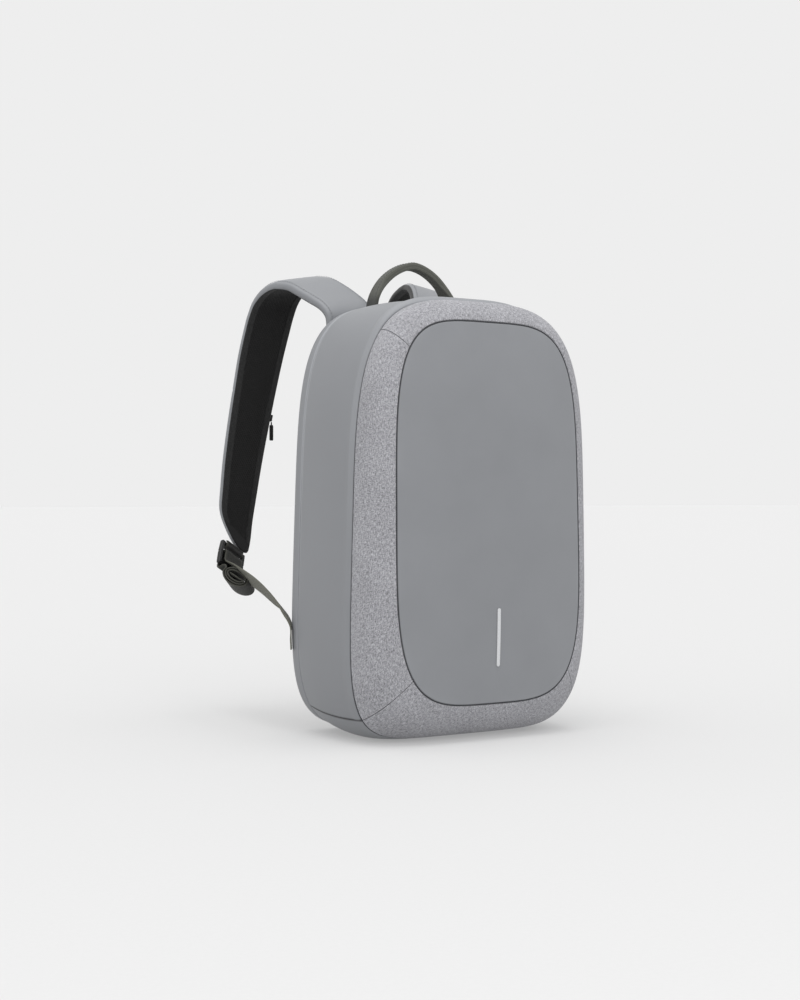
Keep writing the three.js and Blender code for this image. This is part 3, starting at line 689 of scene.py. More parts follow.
def mesh_fabric():
    """A net over foam: open cells in a diagonal lattice."""
    shader = Shader("mesh_fabric", 0.88, Specular_IOR_Level=0.3, Sheen_Weight=0.08, Sheen_Roughness=0.4)
    cloth = shader.cloth()
    leaning = shader.node("Mapping", {"Vector": cloth, "Rotation": (0, 0, math.radians(38)),
                                      "Scale": (0.34, 0.52, 1)}).outputs[0]
    cells = shader.cells(leaning, 1.0, 0.18)
    open_cell = shader.remap(cells, 0.22, 0.42, 1.0, 0.0)
    fuzz = shader.noise(cloth, 2.2, 2.0)
    net = shader.ramp(fuzz, (0.3, shade(BLACK, 0.9)), (0.7, shade(BLACK, 2.6)))
    colour = shader.blend(shader.times(open_cell, 0.85), net, shade(BLACK, 0.25))
    binding = shader.mark("binding")
    dots = shader.cells(cloth, 0.75, 0.35)
    bound = shader.ramp(dots, (0.12, shade(BLACK, 0.9)), (0.5, shade(BLACK, 4.2)))
    colour = shader.blend(binding, colour, bound)
    patch = shader.mark("patch")
    plain = shader.ramp(fuzz, (0.3, shade(BLACK, 1.8)), (0.7, shade(BLACK, 3.4)))
    colour = shader.blend(patch, colour, plain)
    height = shader.times(cells, shader.math("SUBTRACT", 1.0, binding))
    height = shader.plus(height, shader.times(dots, binding))
    height = shader.times(height, shader.math("SUBTRACT", 1.0, patch))
    height = shader.plus(height, shader.times(fuzz, 0.25))
    return shader.finish(colour, height, 0.7 * MM, 0.8)


def webbing_fabric(name, colour, rib=1.25):
    """Narrow woven tape: fine ribs along it, crossed by the weft."""
    shader = Shader(name, 0.78, Specular_IOR_Level=0.35, Sheen_Weight=0.10, Sheen_Roughness=0.4)
    cloth = shader.cloth()
    ribs = shader.wave(cloth, 0.31 / rib, "Y", 0.3)
    weft = shader.wave(cloth, 0.36, "X", 0.8)
    yarn = shader.noise(cloth, 2.4, 2.0)
    tone = shader.plus(shader.times(ribs, 0.45), shader.times(yarn, 0.55))
    base = shader.ramp(tone, (0.25, shade(colour, 0.62)), (0.75, shade(colour, 1.28)))
    worn = shader.times(shader.mark("seam"), 0.35)
    base = shader.blend(worn, base, shade(colour, 1.55))
    base = shader.blend(shader.mark("shadow"), base, shade(BLACK, 1.5))
    height = shader.plus(ribs, shader.times(shader.times(weft, yarn), 0.9))
    return shader.finish(base, height, 0.25 * MM, 0.7)


def buckle_plastic():
    shader = Shader("buckle_plastic", 0.42, Specular_IOR_Level=0.5)
    grain = shader.noise(shader.place(), 1600.0, 2.0)
    scuff = shader.noise(shader.place(), 160.0, 4.0)
    colour = shader.ramp(scuff, (0.35, shade(BLACK, 0.9)), (0.7, shade(BLACK, 1.7)))
    return shader.finish(colour, grain, 0.05 * MM, 0.5, shader.remap(scuff, 0.3, 0.7, 0.36, 0.5))


def reflective_tape():
    shader = Shader("reflective_tape", 0.35, Specular_IOR_Level=0.6)
    beads = shader.cells(shader.place(), 2400.0)
    colour = shader.ramp(beads, (0.1, (0.70, 0.71, 0.72)), (0.6, (0.55, 0.56, 0.575)))
    return shader.finish(colour, beads, 0.03 * MM, 0.5)


def floor_paper():
    """Pale studio paper as bright as the background: its tone gives way where the lamps light it."""
    shader = Shader("floor_paper", 0.9, Specular_IOR_Level=0.1)
    fibres = shader.noise(shader.place(), 300.0, 2.0)
    shader.surface.inputs["Emission Color"].default_value = (1, 1, 1, 1)
    shader.surface.inputs["Emission Strength"].default_value = FLOOR_GLOW
    centred = shader.node("Mapping", {"Vector": shader.place(), "Location": (0.3, 0.5, 0)}).outputs[0]
    distance = shader.node("VectorMath", {"Vector": centred}, operation="LENGTH").outputs["Value"]
    spread = shader.math("MULTIPLY_ADD", shader.times(distance, distance), 1 / LAMP_SPREAD ** 2, 1.0)
    lamps = shader.math("DIVIDE", LAMPS_ON_FLOOR, shader.times(spread, spread))
    tone = shader.math("DIVIDE", SKY - FLOOR_GLOW, shader.plus(lamps, SKY))
    tone = shader.times(tone, shader.remap(fibres, 0.3, 0.7, 0.99, 1.01))
    return shader.finish(shader.grey(tone), fibres, 0.02 * MM, 0.3)


COATED_FABRIC = coated_fabric()
HEATHER_FABRIC = heather_fabric()
SEAM_TRIM = seam_trim()
DARK_THREAD = thread("dark_thread", (0.035, 0.036, 0.039), (0.09, 0.092, 0.098))
GREY_THREAD = thread("grey_thread", shade(COATED, 0.85), shade(COATED, 1.25))
MESH_FABRIC = mesh_fabric()
HANDLE_WEBBING = webbing_fabric("handle_webbing", HANDLE)
STRAP_WEBBING = webbing_fabric("strap_webbing", WEBBING)
BUCKLE_PLASTIC = buckle_plastic()
REFLECTIVE_TAPE = reflective_tape()


def place(piece, slot, *nodes):
    """The piece rides on the bag and stands for nodes, if it names any; the slot is not used."""
    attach(piece, "root")
    if nodes:
        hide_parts(*nodes)
    return piece


def place_both(piece, slot, node=None):
    """Places a piece of the left strap and its mirror image on the right strap."""
    place(piece, slot, *([f"{node}_left"] if node else []))
    copy = place(mirrored(piece, piece.name.replace("left", "right")), slot,
                 *([f"{node}_right"] if node else []))


# The body's panels
def straight_back(_):
    return BACKWARDS


def straight_front(_):
    return -BACKWARDS


def border_inwards(turn):
    return inwards(SEAMS["border"], turn)


def back_inwards(turn):
    return inwards(SEAMS["back"], turn)


def waves(base, size, seed):
    """Soft dents of about that size, between -1 and 1."""
    turns = np.random.default_rng(seed)
    total = np.zeros(base.shape[:-1])
    for _ in range(5):
        direction = unit(turns.normal(size=3))
        total += np.sin(base @ direction * FULL / (size * turns.uniform(0.7, 1.5)) + turns.uniform(0, FULL))
    return total / 5


def seam_relief(ridge, ridge_width, dents, seed, crown=0.0):
    """Cloth swells just beside a seam, puckers at its stitches and has a few soft dents."""
    def relief(near_gap, far_gap, base):
        swell = ridge * np.exp(-((near_gap - 0.45 * ridge_width) / (0.4 * ridge_width)) ** 2)
        pucker = 0.07 * MM * waves(base, 9 * MM, seed) * np.exp(-np.minimum(near_gap, far_gap) / (7 * MM))
        swell = swell * (1 + crown * smooth(base[..., 2], 0.87 * BODY_HEIGHT, 0.97 * BODY_HEIGHT))
        return swell + pucker + dents * waves(base, 90 * MM, seed + 1)
    return relief


def make_body():
    top_right, top_left, base_left, base_right = MITRES.values()
    panel, border = SEAMS["panel"], SEAMS["border"]
    ring = whole_turn(512)
    rim = outline(panel, ring) + SEAM_SIDE * inwards(panel, ring)
    front = plate("front_panel_skin", rim, inwards(panel, ring), -BACKWARDS,
                  lambda share: PANEL_DOME * (1 - share ** 3),
                  lambda share: PANEL_DOME * (1 - share ** 3) - PANEL_WALL,
                  SEAM_ROLL, COATED_FABRIC, rows=46,
                  relief=lambda points: 0.10 * MM * waves(points, 120 * MM, 3))
    place(front, "coated_fabric", "front_panel")

    for name, start, end, seed in (("top", top_right, top_left, 11), ("left", top_left, base_left, 12),
                                   ("bottom", base_left, base_right, 13),
                                   ("right", base_right - FULL, top_right, 14)):
        skin = shell(f"border_{name}_skin", border_surface, patch_turns(panel, start, end, 150), BORDER_WALL,
                     (straight_back, border_inwards), (SEAM_ROLL, SEAM_ROLL), HEATHER_FABRIC, rows=30,
                     relief=seam_relief(0.25 * MM, 9 * MM, 0.12 * MM, seed),
                     turned=name in ("top", "bottom"))
        place(skin, "heather_fabric", f"border_{name}")

    sewing = ((border_inwards, back_inwards), (SEAM_ROLL, CREASE_ROLL), COATED_FABRIC)
    behind = dict(rows=40, clear=(SEAM_SIDE, 0.15 * MM), welt_highlight=WELT_WIDTH)
    gusset = shell("side_gusset_skin", gusset_surface,
                   patch_turns(border, base_right - FULL, base_left, 380), GUSSET_WALL, *sewing,
                   relief=seam_relief(0.7 * MM, 11 * MM, 0.2 * MM, 21, CROWN), **behind)
    place(gusset, "coated_fabric", "side_gusset")
    base = shell("base_panel_skin", gusset_surface, patch_turns(border, base_left, base_right, 140),
                 BASE_WALL, *sewing, **behind)
    place(base, "coated_fabric", "base_panel")
    rim_skin = shell("back_rim_skin", rim_surface, ring, RIM_WALL, (back_inwards, straight_front),
                     (CREASE_ROLL, CREASE_ROLL), COATED_FABRIC, closed=True, rows=16,
                     relief=seam_relief(0.35 * MM, 4 * MM, 0.1 * MM, 31), clear=(0.15 * MM, 0.1 * MM))
    place(rim_skin, "coated_fabric", "back_rim")


def make_piping():
    ring = whole_turn(720)
    angles = whole_turn(10)[None, :, None]
    for name in ("panel", "border"):
        inward = inwards(SEAMS[name], ring)
        straight = BACKWARDS + 0 * inward
        across, down = (inward, straight) if name == "panel" else (straight, inward)
        middle = outline(SEAMS[name], ring) + PIPING_SUNK * down
        round_it = PIPING_RADIUS * (across[:, None] * np.cos(angles) - down[:, None] * np.sin(angles))
        points = middle[:, None] + round_it
        piece = band(f"{name}_piping_cord", points[:, :5], points[:, 5:][:, ::-1], True, SEAM_TRIM)
        place(piece, "seam_trim", f"{name}_piping")


def make_strip():
    panel = SEAMS["panel"]
    foot, head = outline(panel, np.array(1.5 * math.pi)), outline(panel, np.array(0.5 * math.pi))
    middle = mix(foot, head, 0.5)
    shares = STRIP_START + edge_spread(STRIP_SPAN, STRIP_WIDTH / 2 / np.linalg.norm(foot - middle), 40, 8)
    at = mix(middle, foot, shares[:, None])
    at[:, 0] += STRIP_OFFSET
    at[:, 1] -= PANEL_DOME * (1 - shares ** 3) + PIECE_GAP
    arc = arc_lengths(at)
    end = np.minimum(arc, arc[-1] - arc)
    past_centre = np.clip(STRIP_WIDTH / 2 - end, 0, None)
    half = np.sqrt(np.clip((STRIP_WIDTH / 2) ** 2 - past_centre ** 2, 1e-9, None))[:, None]
    across = np.linspace(-1, 1, 13)
    crown = STRIP_THICKNESS * (1 - np.abs(across) ** 6 * 0.6)
    outer = at[:, None] + np.stack([half * across, 0 * half - crown, 0 * half * across], axis=-1)
    inner = outer.copy()
    inner[..., 1] = at[:, None, 1] + 0.25 * MM
    piece = band("reflective_bar", outer, inner, False, REFLECTIVE_TAPE)
    place(piece, "reflective_tape", "reflective_strip")


def make_back():
    ring = whole_turn(384)
    back = SEAMS["back"]
    rim = back_edge(ring, RIM_INSET + 0.4 * MM)
    panel = plate("back_panel_skin", rim, inwards(back, ring), BACKWARDS,
                  lambda share: 0.0, lambda share: -BACK_WALL, CREASE_ROLL, COATED_FABRIC, rows=30,
                  relief=lambda points: 0.15 * MM * waves(points, 80 * MM, 41))
    place(panel, "coated_fabric", "back_panel")

    pad_seam = SEAMS["pad"]
    pad_rim = outline(pad_seam, ring)
    pad_rim[:, 1] = back_face(pad_rim[:, 2]) + PIECE_GAP
    low, high = pad_rim[:, 2].min(), pad_rim[:, 2].max()
    half = pad_rim[:, 0].max()

    def channels(points):
        """Padding sinks along the sewn lines and crowns between them."""
        across, up = points[:, 0] / half, (points[:, 2] - low) / (high - low)
        sunk = np.zeros(len(points))
        for level in (0.25, 0.5, 0.75):
            line = up - level - 0.05 * (1 - across ** 2)
            sunk += np.exp(-(line / 0.012) ** 2)
        inside = smooth(points[:, 1] - back_face(points[:, 2]), 2 * MM, PAD_THICKNESS)
        spine = 0.9 * np.exp(-(across / 0.13) ** 2)
        return -inside * 3.0 * MM * np.clip(np.maximum(sunk, spine), 0, 1)

    pad = plate("back_pad_cushion", pad_rim, inwards(pad_seam, ring), BACKWARDS,
                lambda share: 1.15 * PAD_THICKNESS * (1 - share ** 14) ** 0.6,
                lambda share: 0.0, 0.4 * MM, MESH_FABRIC, rows=90, relief=channels)
    place(pad, "mesh_fabric", "back_pad")

    turns = np.linspace(math.radians(-50), math.radians(230), 520)
    middle = back_edge(turns, RIM_INSET) + (PIECE_GAP + ZIP_THICKNESS / 2) * BACKWARDS
    across = inwards(back, turns)
    sideways = (np.linspace(-0.5, 0.5, 5) * ZIP_WIDTH)[None, :, None]
    tape_top = middle[:, None] + across[:, None] * sideways + ZIP_THICKNESS / 2 * BACKWARDS
    tape_low = tape_top - ZIP_THICKNESS * BACKWARDS
    tape = band("back_zip_tape", tape_top, tape_low, False, SEAM_TRIM)
    place(tape, "seam_trim", "back_zip")
    arc = arc_lengths(middle)
    teeth = []
    for number, at in enumerate(np.arange(TOOTH_PITCH, arc[-1] - TOOTH_PITCH, TOOTH_PITCH / 2)):
        spot = on_path(middle, arc, at)
        side = unit(on_path(across, arc, at))
        hand = 1 if number % 2 else -1
        teeth.append(capsule(spot + side * (-0.5 * MM) * hand + 0.5 * MM * BACKWARDS,
                             spot + side * (1.6 * MM) * hand + 0.45 * MM * BACKWARDS, BACKWARDS, 0.42 * MM))
    place(merged("back_zip_teeth", teeth, DARK_THREAD), "seam_trim")


# Shoulder straps: the middle of the padded side, from the root on the back over the crest to the tip.
# Columns: out, back, height (over 0 of the climb, under 0 of the drop), width, thick, yaw and tilt.
STRAP_ROWS = (
    (0.00, 0.000, 1.000, 1.00, 0.78, 0, 0),
    (0.00, 0.000, 0.876, 1.00, 0.78, 0, 0),
    (0.00, 0.015, 0.782, 1.00, 0.78, 0, 0),
    (0.00, 0.018, 0.544, 1.00, 0.78, 0, 1),
    (0.04, 0.030, 0.436, 0.99, 0.82, 0, 3),
    (0.10, 0.070, 0.338, 0.99, 0.90, 0, 5),
    (0.21, 0.141, 0.231, 0.98, 1.00, 0, 8),
    (0.36, 0.214, 0.121, 0.97, 1.00, 0, 10),
    (0.48, 0.286, 0.037, 0.96, 1.00, 0, 10),
    (0.59, 0.366, 0.004, 0.96, 1.00, 0, 10),
    (0.64, 0.444, -0.006, 0.95, 1.00, 0, 9),
    (0.68, 0.530, -0.025, 0.93, 1.00, 0, 8),
    (0.72, 0.598, -0.060, 0.92, 1.00, 0, 6),
    (0.76, 0.635, -0.104, 0.92, 1.00, 1, 4),
    (0.78, 0.669, -0.152, 0.92, 1.00, 2, 2),
    (0.83, 0.727, -0.256, 0.92, 1.00, 4, 1),
    (0.88, 0.780, -0.376, 0.90, 1.00, 6, 0),
    (0.94, 0.836, -0.518, 0.88, 1.00, 8, -1),
    (0.98, 0.894, -0.665, 0.86, 1.00, 11, -3),
    (0.99, 0.945, -0.797, 0.82, 1.00, 13, -9),
    (1.00, 0.974, -0.879, 0.79, 0.97, 13, -17),
    (0.99, 0.994, -0.945, 0.77, 0.90, 12, -25),
    (1.00, 1.000, -1.000, 0.70, 0.78, 12, -31),
)


def strap_stations(steps):
    rows = spline(STRAP_ROWS, steps) if steps > 1 else np.array(STRAP_ROWS, float)
    out, back, height, width, thick, yaw, tilt = rows.T
    crest = BODY_HEIGHT + STRAP_CREST_ABOVE
    root_back = back_face(crest - STRAP_CLIMB) + PIECE_GAP + STRAP_ROWS[0][4] * STRAP_THICKNESS
    climb = np.where(height > 0, -height * STRAP_CLIMB, height * STRAP_DROP)
    at = np.stack([-STRAP_SPACING / 2 - out * STRAP_SPLAY, root_back + back * STRAP_REACH, crest + climb],
                  axis=-1)
    yaw, tilt = np.radians(yaw), np.radians(tilt)
    across = np.stack([np.cos(yaw) * np.cos(tilt), np.sin(yaw) * np.cos(tilt), np.sin(tilt)], axis=-1)
    ahead = np.gradient(at, axis=0)
    return dict(at=at, across=across, outer=unit(np.cross(across, ahead)),
                half=width * STRAP_WIDTH / 2, thick=thick * STRAP_THICKNESS)


def strap_grid(stations, side, height):
    return (stations["at"][:, None] + stations["across"][:, None] * side[..., None]
            + stations["outer"][:, None] * height[..., None])


def strap_shape():
    """The strap's stations, cut to its rounded tip, which tapers from its outer edge alone."""
    shape = strap_stations(STRAP_STEPS)
    arc = arc_lengths(shape["at"])
    to_tip = arc[-1] - arc
    taper = TAPER_SHARE * np.clip(1 - to_tip / TAPER_LENGTH, 0, 1) ** TAPER_CURVE
    half = shape["half"] * (1 - taper) - 0.9 * roll_drop(to_tip, TIP_CORNER)
    thick = shape["thick"] - 0.5 * roll_drop(to_tip, 2.5 * MM) - 0.3 * roll_drop(arc, 2 * MM)
    shape.update(arc=arc, to_tip=to_tip[:, None], shift=(shape["half"] * taper)[:, None],
                 full=shape["thick"][:, None], half=half[:, None], thick=thick[:, None],
                 ledge=COVER_LIP * thick[:, None])
    return shape


def make_strap_cover(shape):
    half, thick, shift, ledge, arc = (shape[key] for key in ("half", "thick", "shift", "ledge", "arc"))
    angles = np.linspace(math.pi, 0, 45)[None]
    cos, sin = np.cos(angles), np.sin(angles)
    side = half * np.sign(cos) * np.abs(cos) ** STRAP_SQUARE
    height = ledge + (thick - ledge) * np.abs(sin) ** (STRAP_SQUARE * 1.15)
    edge = half - np.abs(side)
    groove = 0.5 * MM * np.exp(-((arc - arc[SEAM_ROW * STRAP_STEPS + 2]) / (0.7 * MM)) ** 2)[:, None]
    stitched = 0.14 * MM * np.exp(-((edge - STITCH_INSET) / (0.8 * MM)) ** 2)
    height = height - (groove + stitched) * (height > 0.5 * thick)
    pucker = 0.06 * MM * np.sin(arc / (5 * MM) * FULL)[:, None] * np.exp(-edge / (5 * MM))
    outer = strap_grid(shape, side + shift, height + pucker)
    within = np.clip(height - COVER_THICKNESS, ledge + 0.2 * MM, None)
    inner = strap_grid(shape, side * (1 - COVER_THICKNESS / half) + shift, within)
    seam = np.clip(1 - edge / (5 * MM), 0, 1) * 0.7 + 0 * height
    # The cover's edge on its inner side, below the crown, is coloured black.
    inner_edge = smooth(side - half, -1.1 * MM, -0.6 * MM)
    dark_inner_side = inner_edge * smooth(0.86 * thick - height, -0.3 * MM, 0.3 * MM)
    marks = {"seam": seam, "dark_inner_side": dark_inner_side}
    return band("strap_cover_skin_left", outer, inner, False, COATED_FABRIC, marks)


def make_strap_pad(shape):
    """The padded inside: a bound edge, a netted field and a plain patch over the tip."""
    shift, ledge, to_tip = (shape[key] for key in ("shift", "ledge", "to_tip"))
    lip = shape["half"] - 0.1 * MM
    rim = -1 + 0.04 * ease_in(6)
    share = np.concatenate([rim, np.linspace(-0.95, -0.72, 12), np.linspace(-0.66, 0.66, 15)])
    share = np.concatenate([share, -share[:18][::-1]])[None]
    gap = lip * (1 - np.abs(share))
    round_edge = np.clip(gap / (1.6 * MM), 0, 1)
    rolled = (ledge - 0.1 * MM) * (1 - np.sqrt(1 - (1 - round_edge) ** 2))
    binding = smooth(BINDING_WIDTH - gap, -0.2 * MM, 0.2 * MM)
    half_binding = BINDING_WIDTH / 2
    crown = 0.7 * MM * np.sqrt(np.clip(1 - ((gap - half_binding) / half_binding) ** 2, 0, 1))
    field = 0.5 * MM * smooth(gap, BINDING_WIDTH, 2 * BINDING_WIDTH)
    proud = np.where(gap < BINDING_WIDTH, crown, field)
    patch_line = PATCH_LENGTH - PATCH_SLOPE * (share + 1) / 2
    patch = smooth(patch_line - to_tip, -0.6 * MM, 0.6 * MM)
    proud = mix(proud, 0.6 * MM * smooth(gap, 0, 4 * MM), patch)
    face = strap_grid(shape, lip * share + shift, rolled - proud)
    top = np.where(gap < COVER_THICKNESS + 0.2 * MM, ledge - 0.05 * MM,
                   np.maximum(shape["full"] - 3.2 * MM, ledge + 0.5 * MM))
    roof = strap_grid(shape, lip * share + shift, top + 0 * share)
    return band("strap_pad_cushion_left", face, roof, False, MESH_FABRIC,
                {"binding": binding * (1 - patch), "patch": patch})


def make_strap_stitches(shape):
    run = slice(6, -8)
    rows = []
    for hand in (-1, 1):
        line = hand * (shape["half"] - STITCH_INSET) + shape["shift"]
        path = strap_grid(shape, line, shape["thick"] - 0.28 * MM)[run, 0]
        rows += stitch_parts(path, shape["outer"][run])
    return merged("strap_stitches_left", rows, GREY_THREAD)


def make_straps():
    shape = strap_shape()
    cover, pad, stitches = make_strap_cover(shape), make_strap_pad(shape), make_strap_stitches(shape)
    place_both(cover, "coated_fabric", "strap_cover")
    place_both(pad, "mesh_fabric", "strap_pad")
    place_both(stitches, "seam_trim")


# The buckle's frame of reference: outer is away from the body, down is along the buckle.
def turned_about(vector, axis, angle):
    return (vector * math.cos(angle) + np.cross(axis, vector) * math.sin(angle)
            + axis * (axis @ vector) * (1 - math.cos(angle)))


def buckle_frame():
    rough = strap_stations(1)
    ahead = rough["at"][-1] - rough["at"][-2]
    across = rough["across"][-1]
    outer = unit(np.cross(across, ahead))
    down = unit(np.cross(outer, across))
    middle = rough["at"][-1] + outer * rough["thick"][-1] / 2
    outer = turned_about(outer, across, -BUCKLE_SWING)
    down = turned_about(down, across, -BUCKLE_SWING)
    return across, outer, down, middle + down * BUCKLE_HANG


ACROSS, OUTER, DOWN, BUCKLE_MIDDLE = buckle_frame()
TOP_BAR = -(BUCKLE_HEIGHT - BAR_HEIGHT) / 2
BAR_HALF = BUCKLE_THICKNESS / 2
PLY = BAR_HALF + PIECE_GAP + WEBBING_THICKNESS / 2 + 0.1 * MM


def in_buckle(places):
    """World places of (outer, down) pairs in the buckle's middle plane."""
    places = np.asarray(places, float)
    return BUCKLE_MIDDLE + places[:, :1] * OUTER + places[:, 1:] * DOWN


def rounded_bar(start, end, side, up, width, thickness):
    """A bar between two places, with a rounded rectangular section."""
    angles = whole_turn(20)
    cos, sin = np.cos(angles), np.sin(angles)
    reach = (np.abs(cos) ** 3.2 + np.abs(sin) ** 3.2) ** (-1 / 3.2)
    points = []
    for share, size in ((0, 0.72), (0.04, 0.95), (0.1, 1), (0.5, 1), (0.9, 1), (0.96, 0.95), (1, 0.72)):
        points.append(mix(start, end, share) + size * reach[:, None] * (cos[:, None] * side * width / 2
                                                                       + sin[:, None] * up * thickness / 2))
    return np.concatenate(points), bar_faces(7, 20)


def make_buckle():
    half_width = WEBBING_WIDTH / 2 + SLOT_CLEARANCE + RAIL_WIDTH / 2
    parts = []
    for hand in (-1, 1):
        ends = [BUCKLE_MIDDLE + ACROSS * hand * half_width * bow + DOWN * level * BUCKLE_HEIGHT / 2
                for level, bow in ((-1, 0.95), (0, 1.0), (1, 0.95))]
        for start, end in zip(ends, ends[1:]):
            parts.append(rounded_bar(start, end, ACROSS, OUTER, RAIL_WIDTH, 1.25 * BUCKLE_THICKNESS))
    for level, height, depth in ((TOP_BAR, 1.0, 1.0), (0, 1.0, 0.85), (-TOP_BAR, 1.25, 1.0)):
        middle = BUCKLE_MIDDLE + DOWN * level
        parts.append(rounded_bar(middle - ACROSS * half_width, middle + ACROSS * half_width, DOWN, OUTER,
                                 height * BAR_HEIGHT, depth * BUCKLE_THICKNESS))
    lip = BUCKLE_MIDDLE - DOWN * TOP_BAR * 1.12 + OUTER * 0.9 * MM
    parts.append(rounded_bar(lip - ACROSS * 0.8 * half_width, lip + ACROSS * 0.8 * half_width, DOWN, OUTER,
                             2.4 * MM, 2.6 * MM))
    buckle = remeshed(merged("buckle_frame_left", parts, BUCKLE_PLASTIC), 0.45 * MM)
    place_both(buckle, "buckle_plastic", "buckle")


def ribbon(name, at, across, widths, thickness, material, shadow):
    """Woven tape along a path, with rounded edges."""
    along = tangents(at)
    side = unit(across - along * np.einsum("ij,ij->i", across, along)[:, None])
    up = np.cross(side, along)
    rounding = 0.04 * np.sin(np.linspace(0, math.pi / 2, 4))[1:]
    share = np.concatenate([-0.96 - rounding[::-1], np.linspace(-0.96, 0.96, 11), 0.96 + rounding])
    body = np.sqrt(np.clip(1 - (np.clip(np.abs(share) - 0.93, 0, None) / 0.075) ** 2, 0.05, 1))
    half = widths[:, None] / 2
    places = [at[:, None] + side[:, None] * (half * share)[..., None]
              + up[:, None] * (hand * thickness / 2 * body + 0 * half)[..., None] for hand in (1, -1)]
    marks = {"seam": smooth(np.abs(share), 0.86, 0.97)[None] + 0 * half,
             "shadow": shadow[:, None] * (1 - 0.3 * smooth(np.abs(share), 0.9, 0.98))}
    return band(name, places[0], places[1], False, material, marks)


# The webbing's run from the rim to the buckle, with columns along, arch, turned, wide and lean.
WEBBING_RUN = (
    (0.93, 0.60, 0.50, 0.3, 0.05),
    (0.81, 1.00, 0.20, 0.8, 0.18),
    (0.65, 0.88, 0.07, 1.0, 0.31),
    (0.42, 0.65, 0.00, 1.0, 0.33),
    (0.12, 0.10, 0.00, 1.0, 0.24),
)
LEAN_TOWARDS = np.array([-0.5, 0.35, -0.8])


def make_webbing():
    # The short loop from the strap's tip round the buckle's top bar
    inset = 1.3 * MM
    reach = inset + WEBBING_THICKNESS
    top = -BUCKLE_HANG + PIECE_GAP + reach * math.tan(BUCKLE_SWING) + 0.2 * MM
    side = [(inset, top), (1.08 * PLY, TOP_BAR - 1.15 * BAR_HALF), (PLY, TOP_BAR),
            (1.03 * PLY, TOP_BAR + 0.7 * PLY), (0.74 * PLY, TOP_BAR + 1.02 * PLY)]
    loop = side + [(0, TOP_BAR + 1.06 * PLY)] + [(-outer, down) for outer, down in side[::-1]]
    path = spline(in_buckle(loop), 10)
    # The tab gets painted shadow.
    tab = ribbon("buckle_tab_tape_left", path, ACROSS + 0 * path, np.full(len(path), 0.98 * WEBBING_WIDTH),
                 0.9 * WEBBING_THICKNESS, STRAP_WEBBING, np.full(len(path), 0.95))
    place_both(tab, "strap_webbing", "buckle_tab")

    # The long webbing from its seam at the rim, through the buckle, to the roll
    back = SEAMS["back"]
    span = ANCHOR_LENGTH / np.linalg.norm(along_outline(back, np.array(ANCHOR_TURN)))
    turns = ANCHOR_TURN + np.array([0.5, 0, -0.5]) * span
    share = np.full(3, ANCHOR_SHARE)
    normal = -inward_normal(rim_surface, turns, share)
    anchor = rim_surface(turns, share) + normal * (1.5 * PIECE_GAP + WEBBING_THICKNESS / 2)
    anchor_across = unit(np.cross(along_outline(back, turns), normal))
    under_bar = BAR_HALF + PLY
    bottom_bar = -TOP_BAR
    exit_place = (-2.7 * PLY, bottom_bar + 0.3 * under_bar)
    exit_at = in_buckle([exit_place])[0]
    run, run_across, run_width = [], [], []
    for along, arch, turned, wide, lean in WEBBING_RUN:
        run.append(mix(exit_at, anchor[2], along) + arch * WEBBING_ARCH * UPWARDS)
        run_across.append(unit(mix(ACROSS, anchor_across[2], turned) + lean * LEAN_TOWARDS))
        run_width.append(mix(ANCHOR_WIDTH, WEBBING_WIDTH, wide))
    over_bars = [exit_place, (-1.6 * PLY, bottom_bar - BAR_HALF), (-1.25 * PLY, bottom_bar / 2),
                 (-1.25 * PLY, -0.6 * PLY), (-0.8 * PLY, -PLY), (0, -1.1 * PLY), (0.9 * PLY, -PLY),
                 (1.05 * PLY, 0), (PLY, bottom_bar / 2), (1.05 * PLY, bottom_bar)]

    def roll_at(turned):
        radius = ROLL_RADIUS - WEBBING_THICKNESS / 2 - ROLL_PITCH * turned
        longways = -(radius + ROLL_FLAT) * np.cos(turned * FULL)
        short = radius * np.sin(turned * FULL)
        slope = (-math.cos(ROLL_SLOPE), math.sin(ROLL_SLOPE))
        return np.stack([-ROLL_BACK + longways * slope[0] + short * slope[1],
                         ROLL_HANG + longways * slope[1] - short * slope[0]], axis=-1)

    spiral = roll_at(np.linspace(0, ROLL_TURNS, int(ROLL_TURNS * 14) + 1))
    centre = np.array([-ROLL_BACK, ROLL_HANG])
    fold = [mix(spiral[-1], 2 * centre - spiral[-1], part) for part in (0.35, 0.5, 0.65, 0.9)]
    tail = [(mix(1.05 * PLY, spiral[0, 0], part ** 2.4), mix(bottom_bar, spiral[0, 1], part))
            for part in (0.3, 0.7)]
    local = in_buckle(np.vstack([over_bars, tail, spiral, fold]))
    settled = smooth(np.arange(len(local)), len(over_bars) - 0.5, len(over_bars) + 3.5)
    pivot = in_buckle([centre])[0]

    def twisted(vector, share):
        return turned_about(turned_about(vector, DOWN, -ROLL_YAW * share), OUTER, -ROLL_LIFT * share)

    local = np.array([pivot + twisted(spot - pivot, share) for spot, share in zip(local, settled)])
    at = np.vstack([anchor, run, local])
    across = np.vstack([anchor_across, run_across, [twisted(ACROSS, share) for share in settled]])
    widths = np.concatenate([np.full(3, ANCHOR_WIDTH), run_width, np.full(len(local), WEBBING_WIDTH)])
    fine = spline(np.hstack([at, across, widths[:, None]]), WEBBING_STEPS)
    start = WEBBING_STEPS * (len(anchor) + len(run))
    # Painted shadow on the webbing from the buckle on: over its bars and round the roll.
    rolled = smooth(np.arange(len(fine)), start - WEBBING_STEPS, start + WEBBING_STEPS) * 0.85
    webbing = ribbon("webbing_tape_left", fine[:, :3], fine[:, 3:6], fine[:, 6],
                     0.93 * WEBBING_THICKNESS, STRAP_WEBBING, rolled)
    place_both(webbing, "strap_webbing", "webbing")


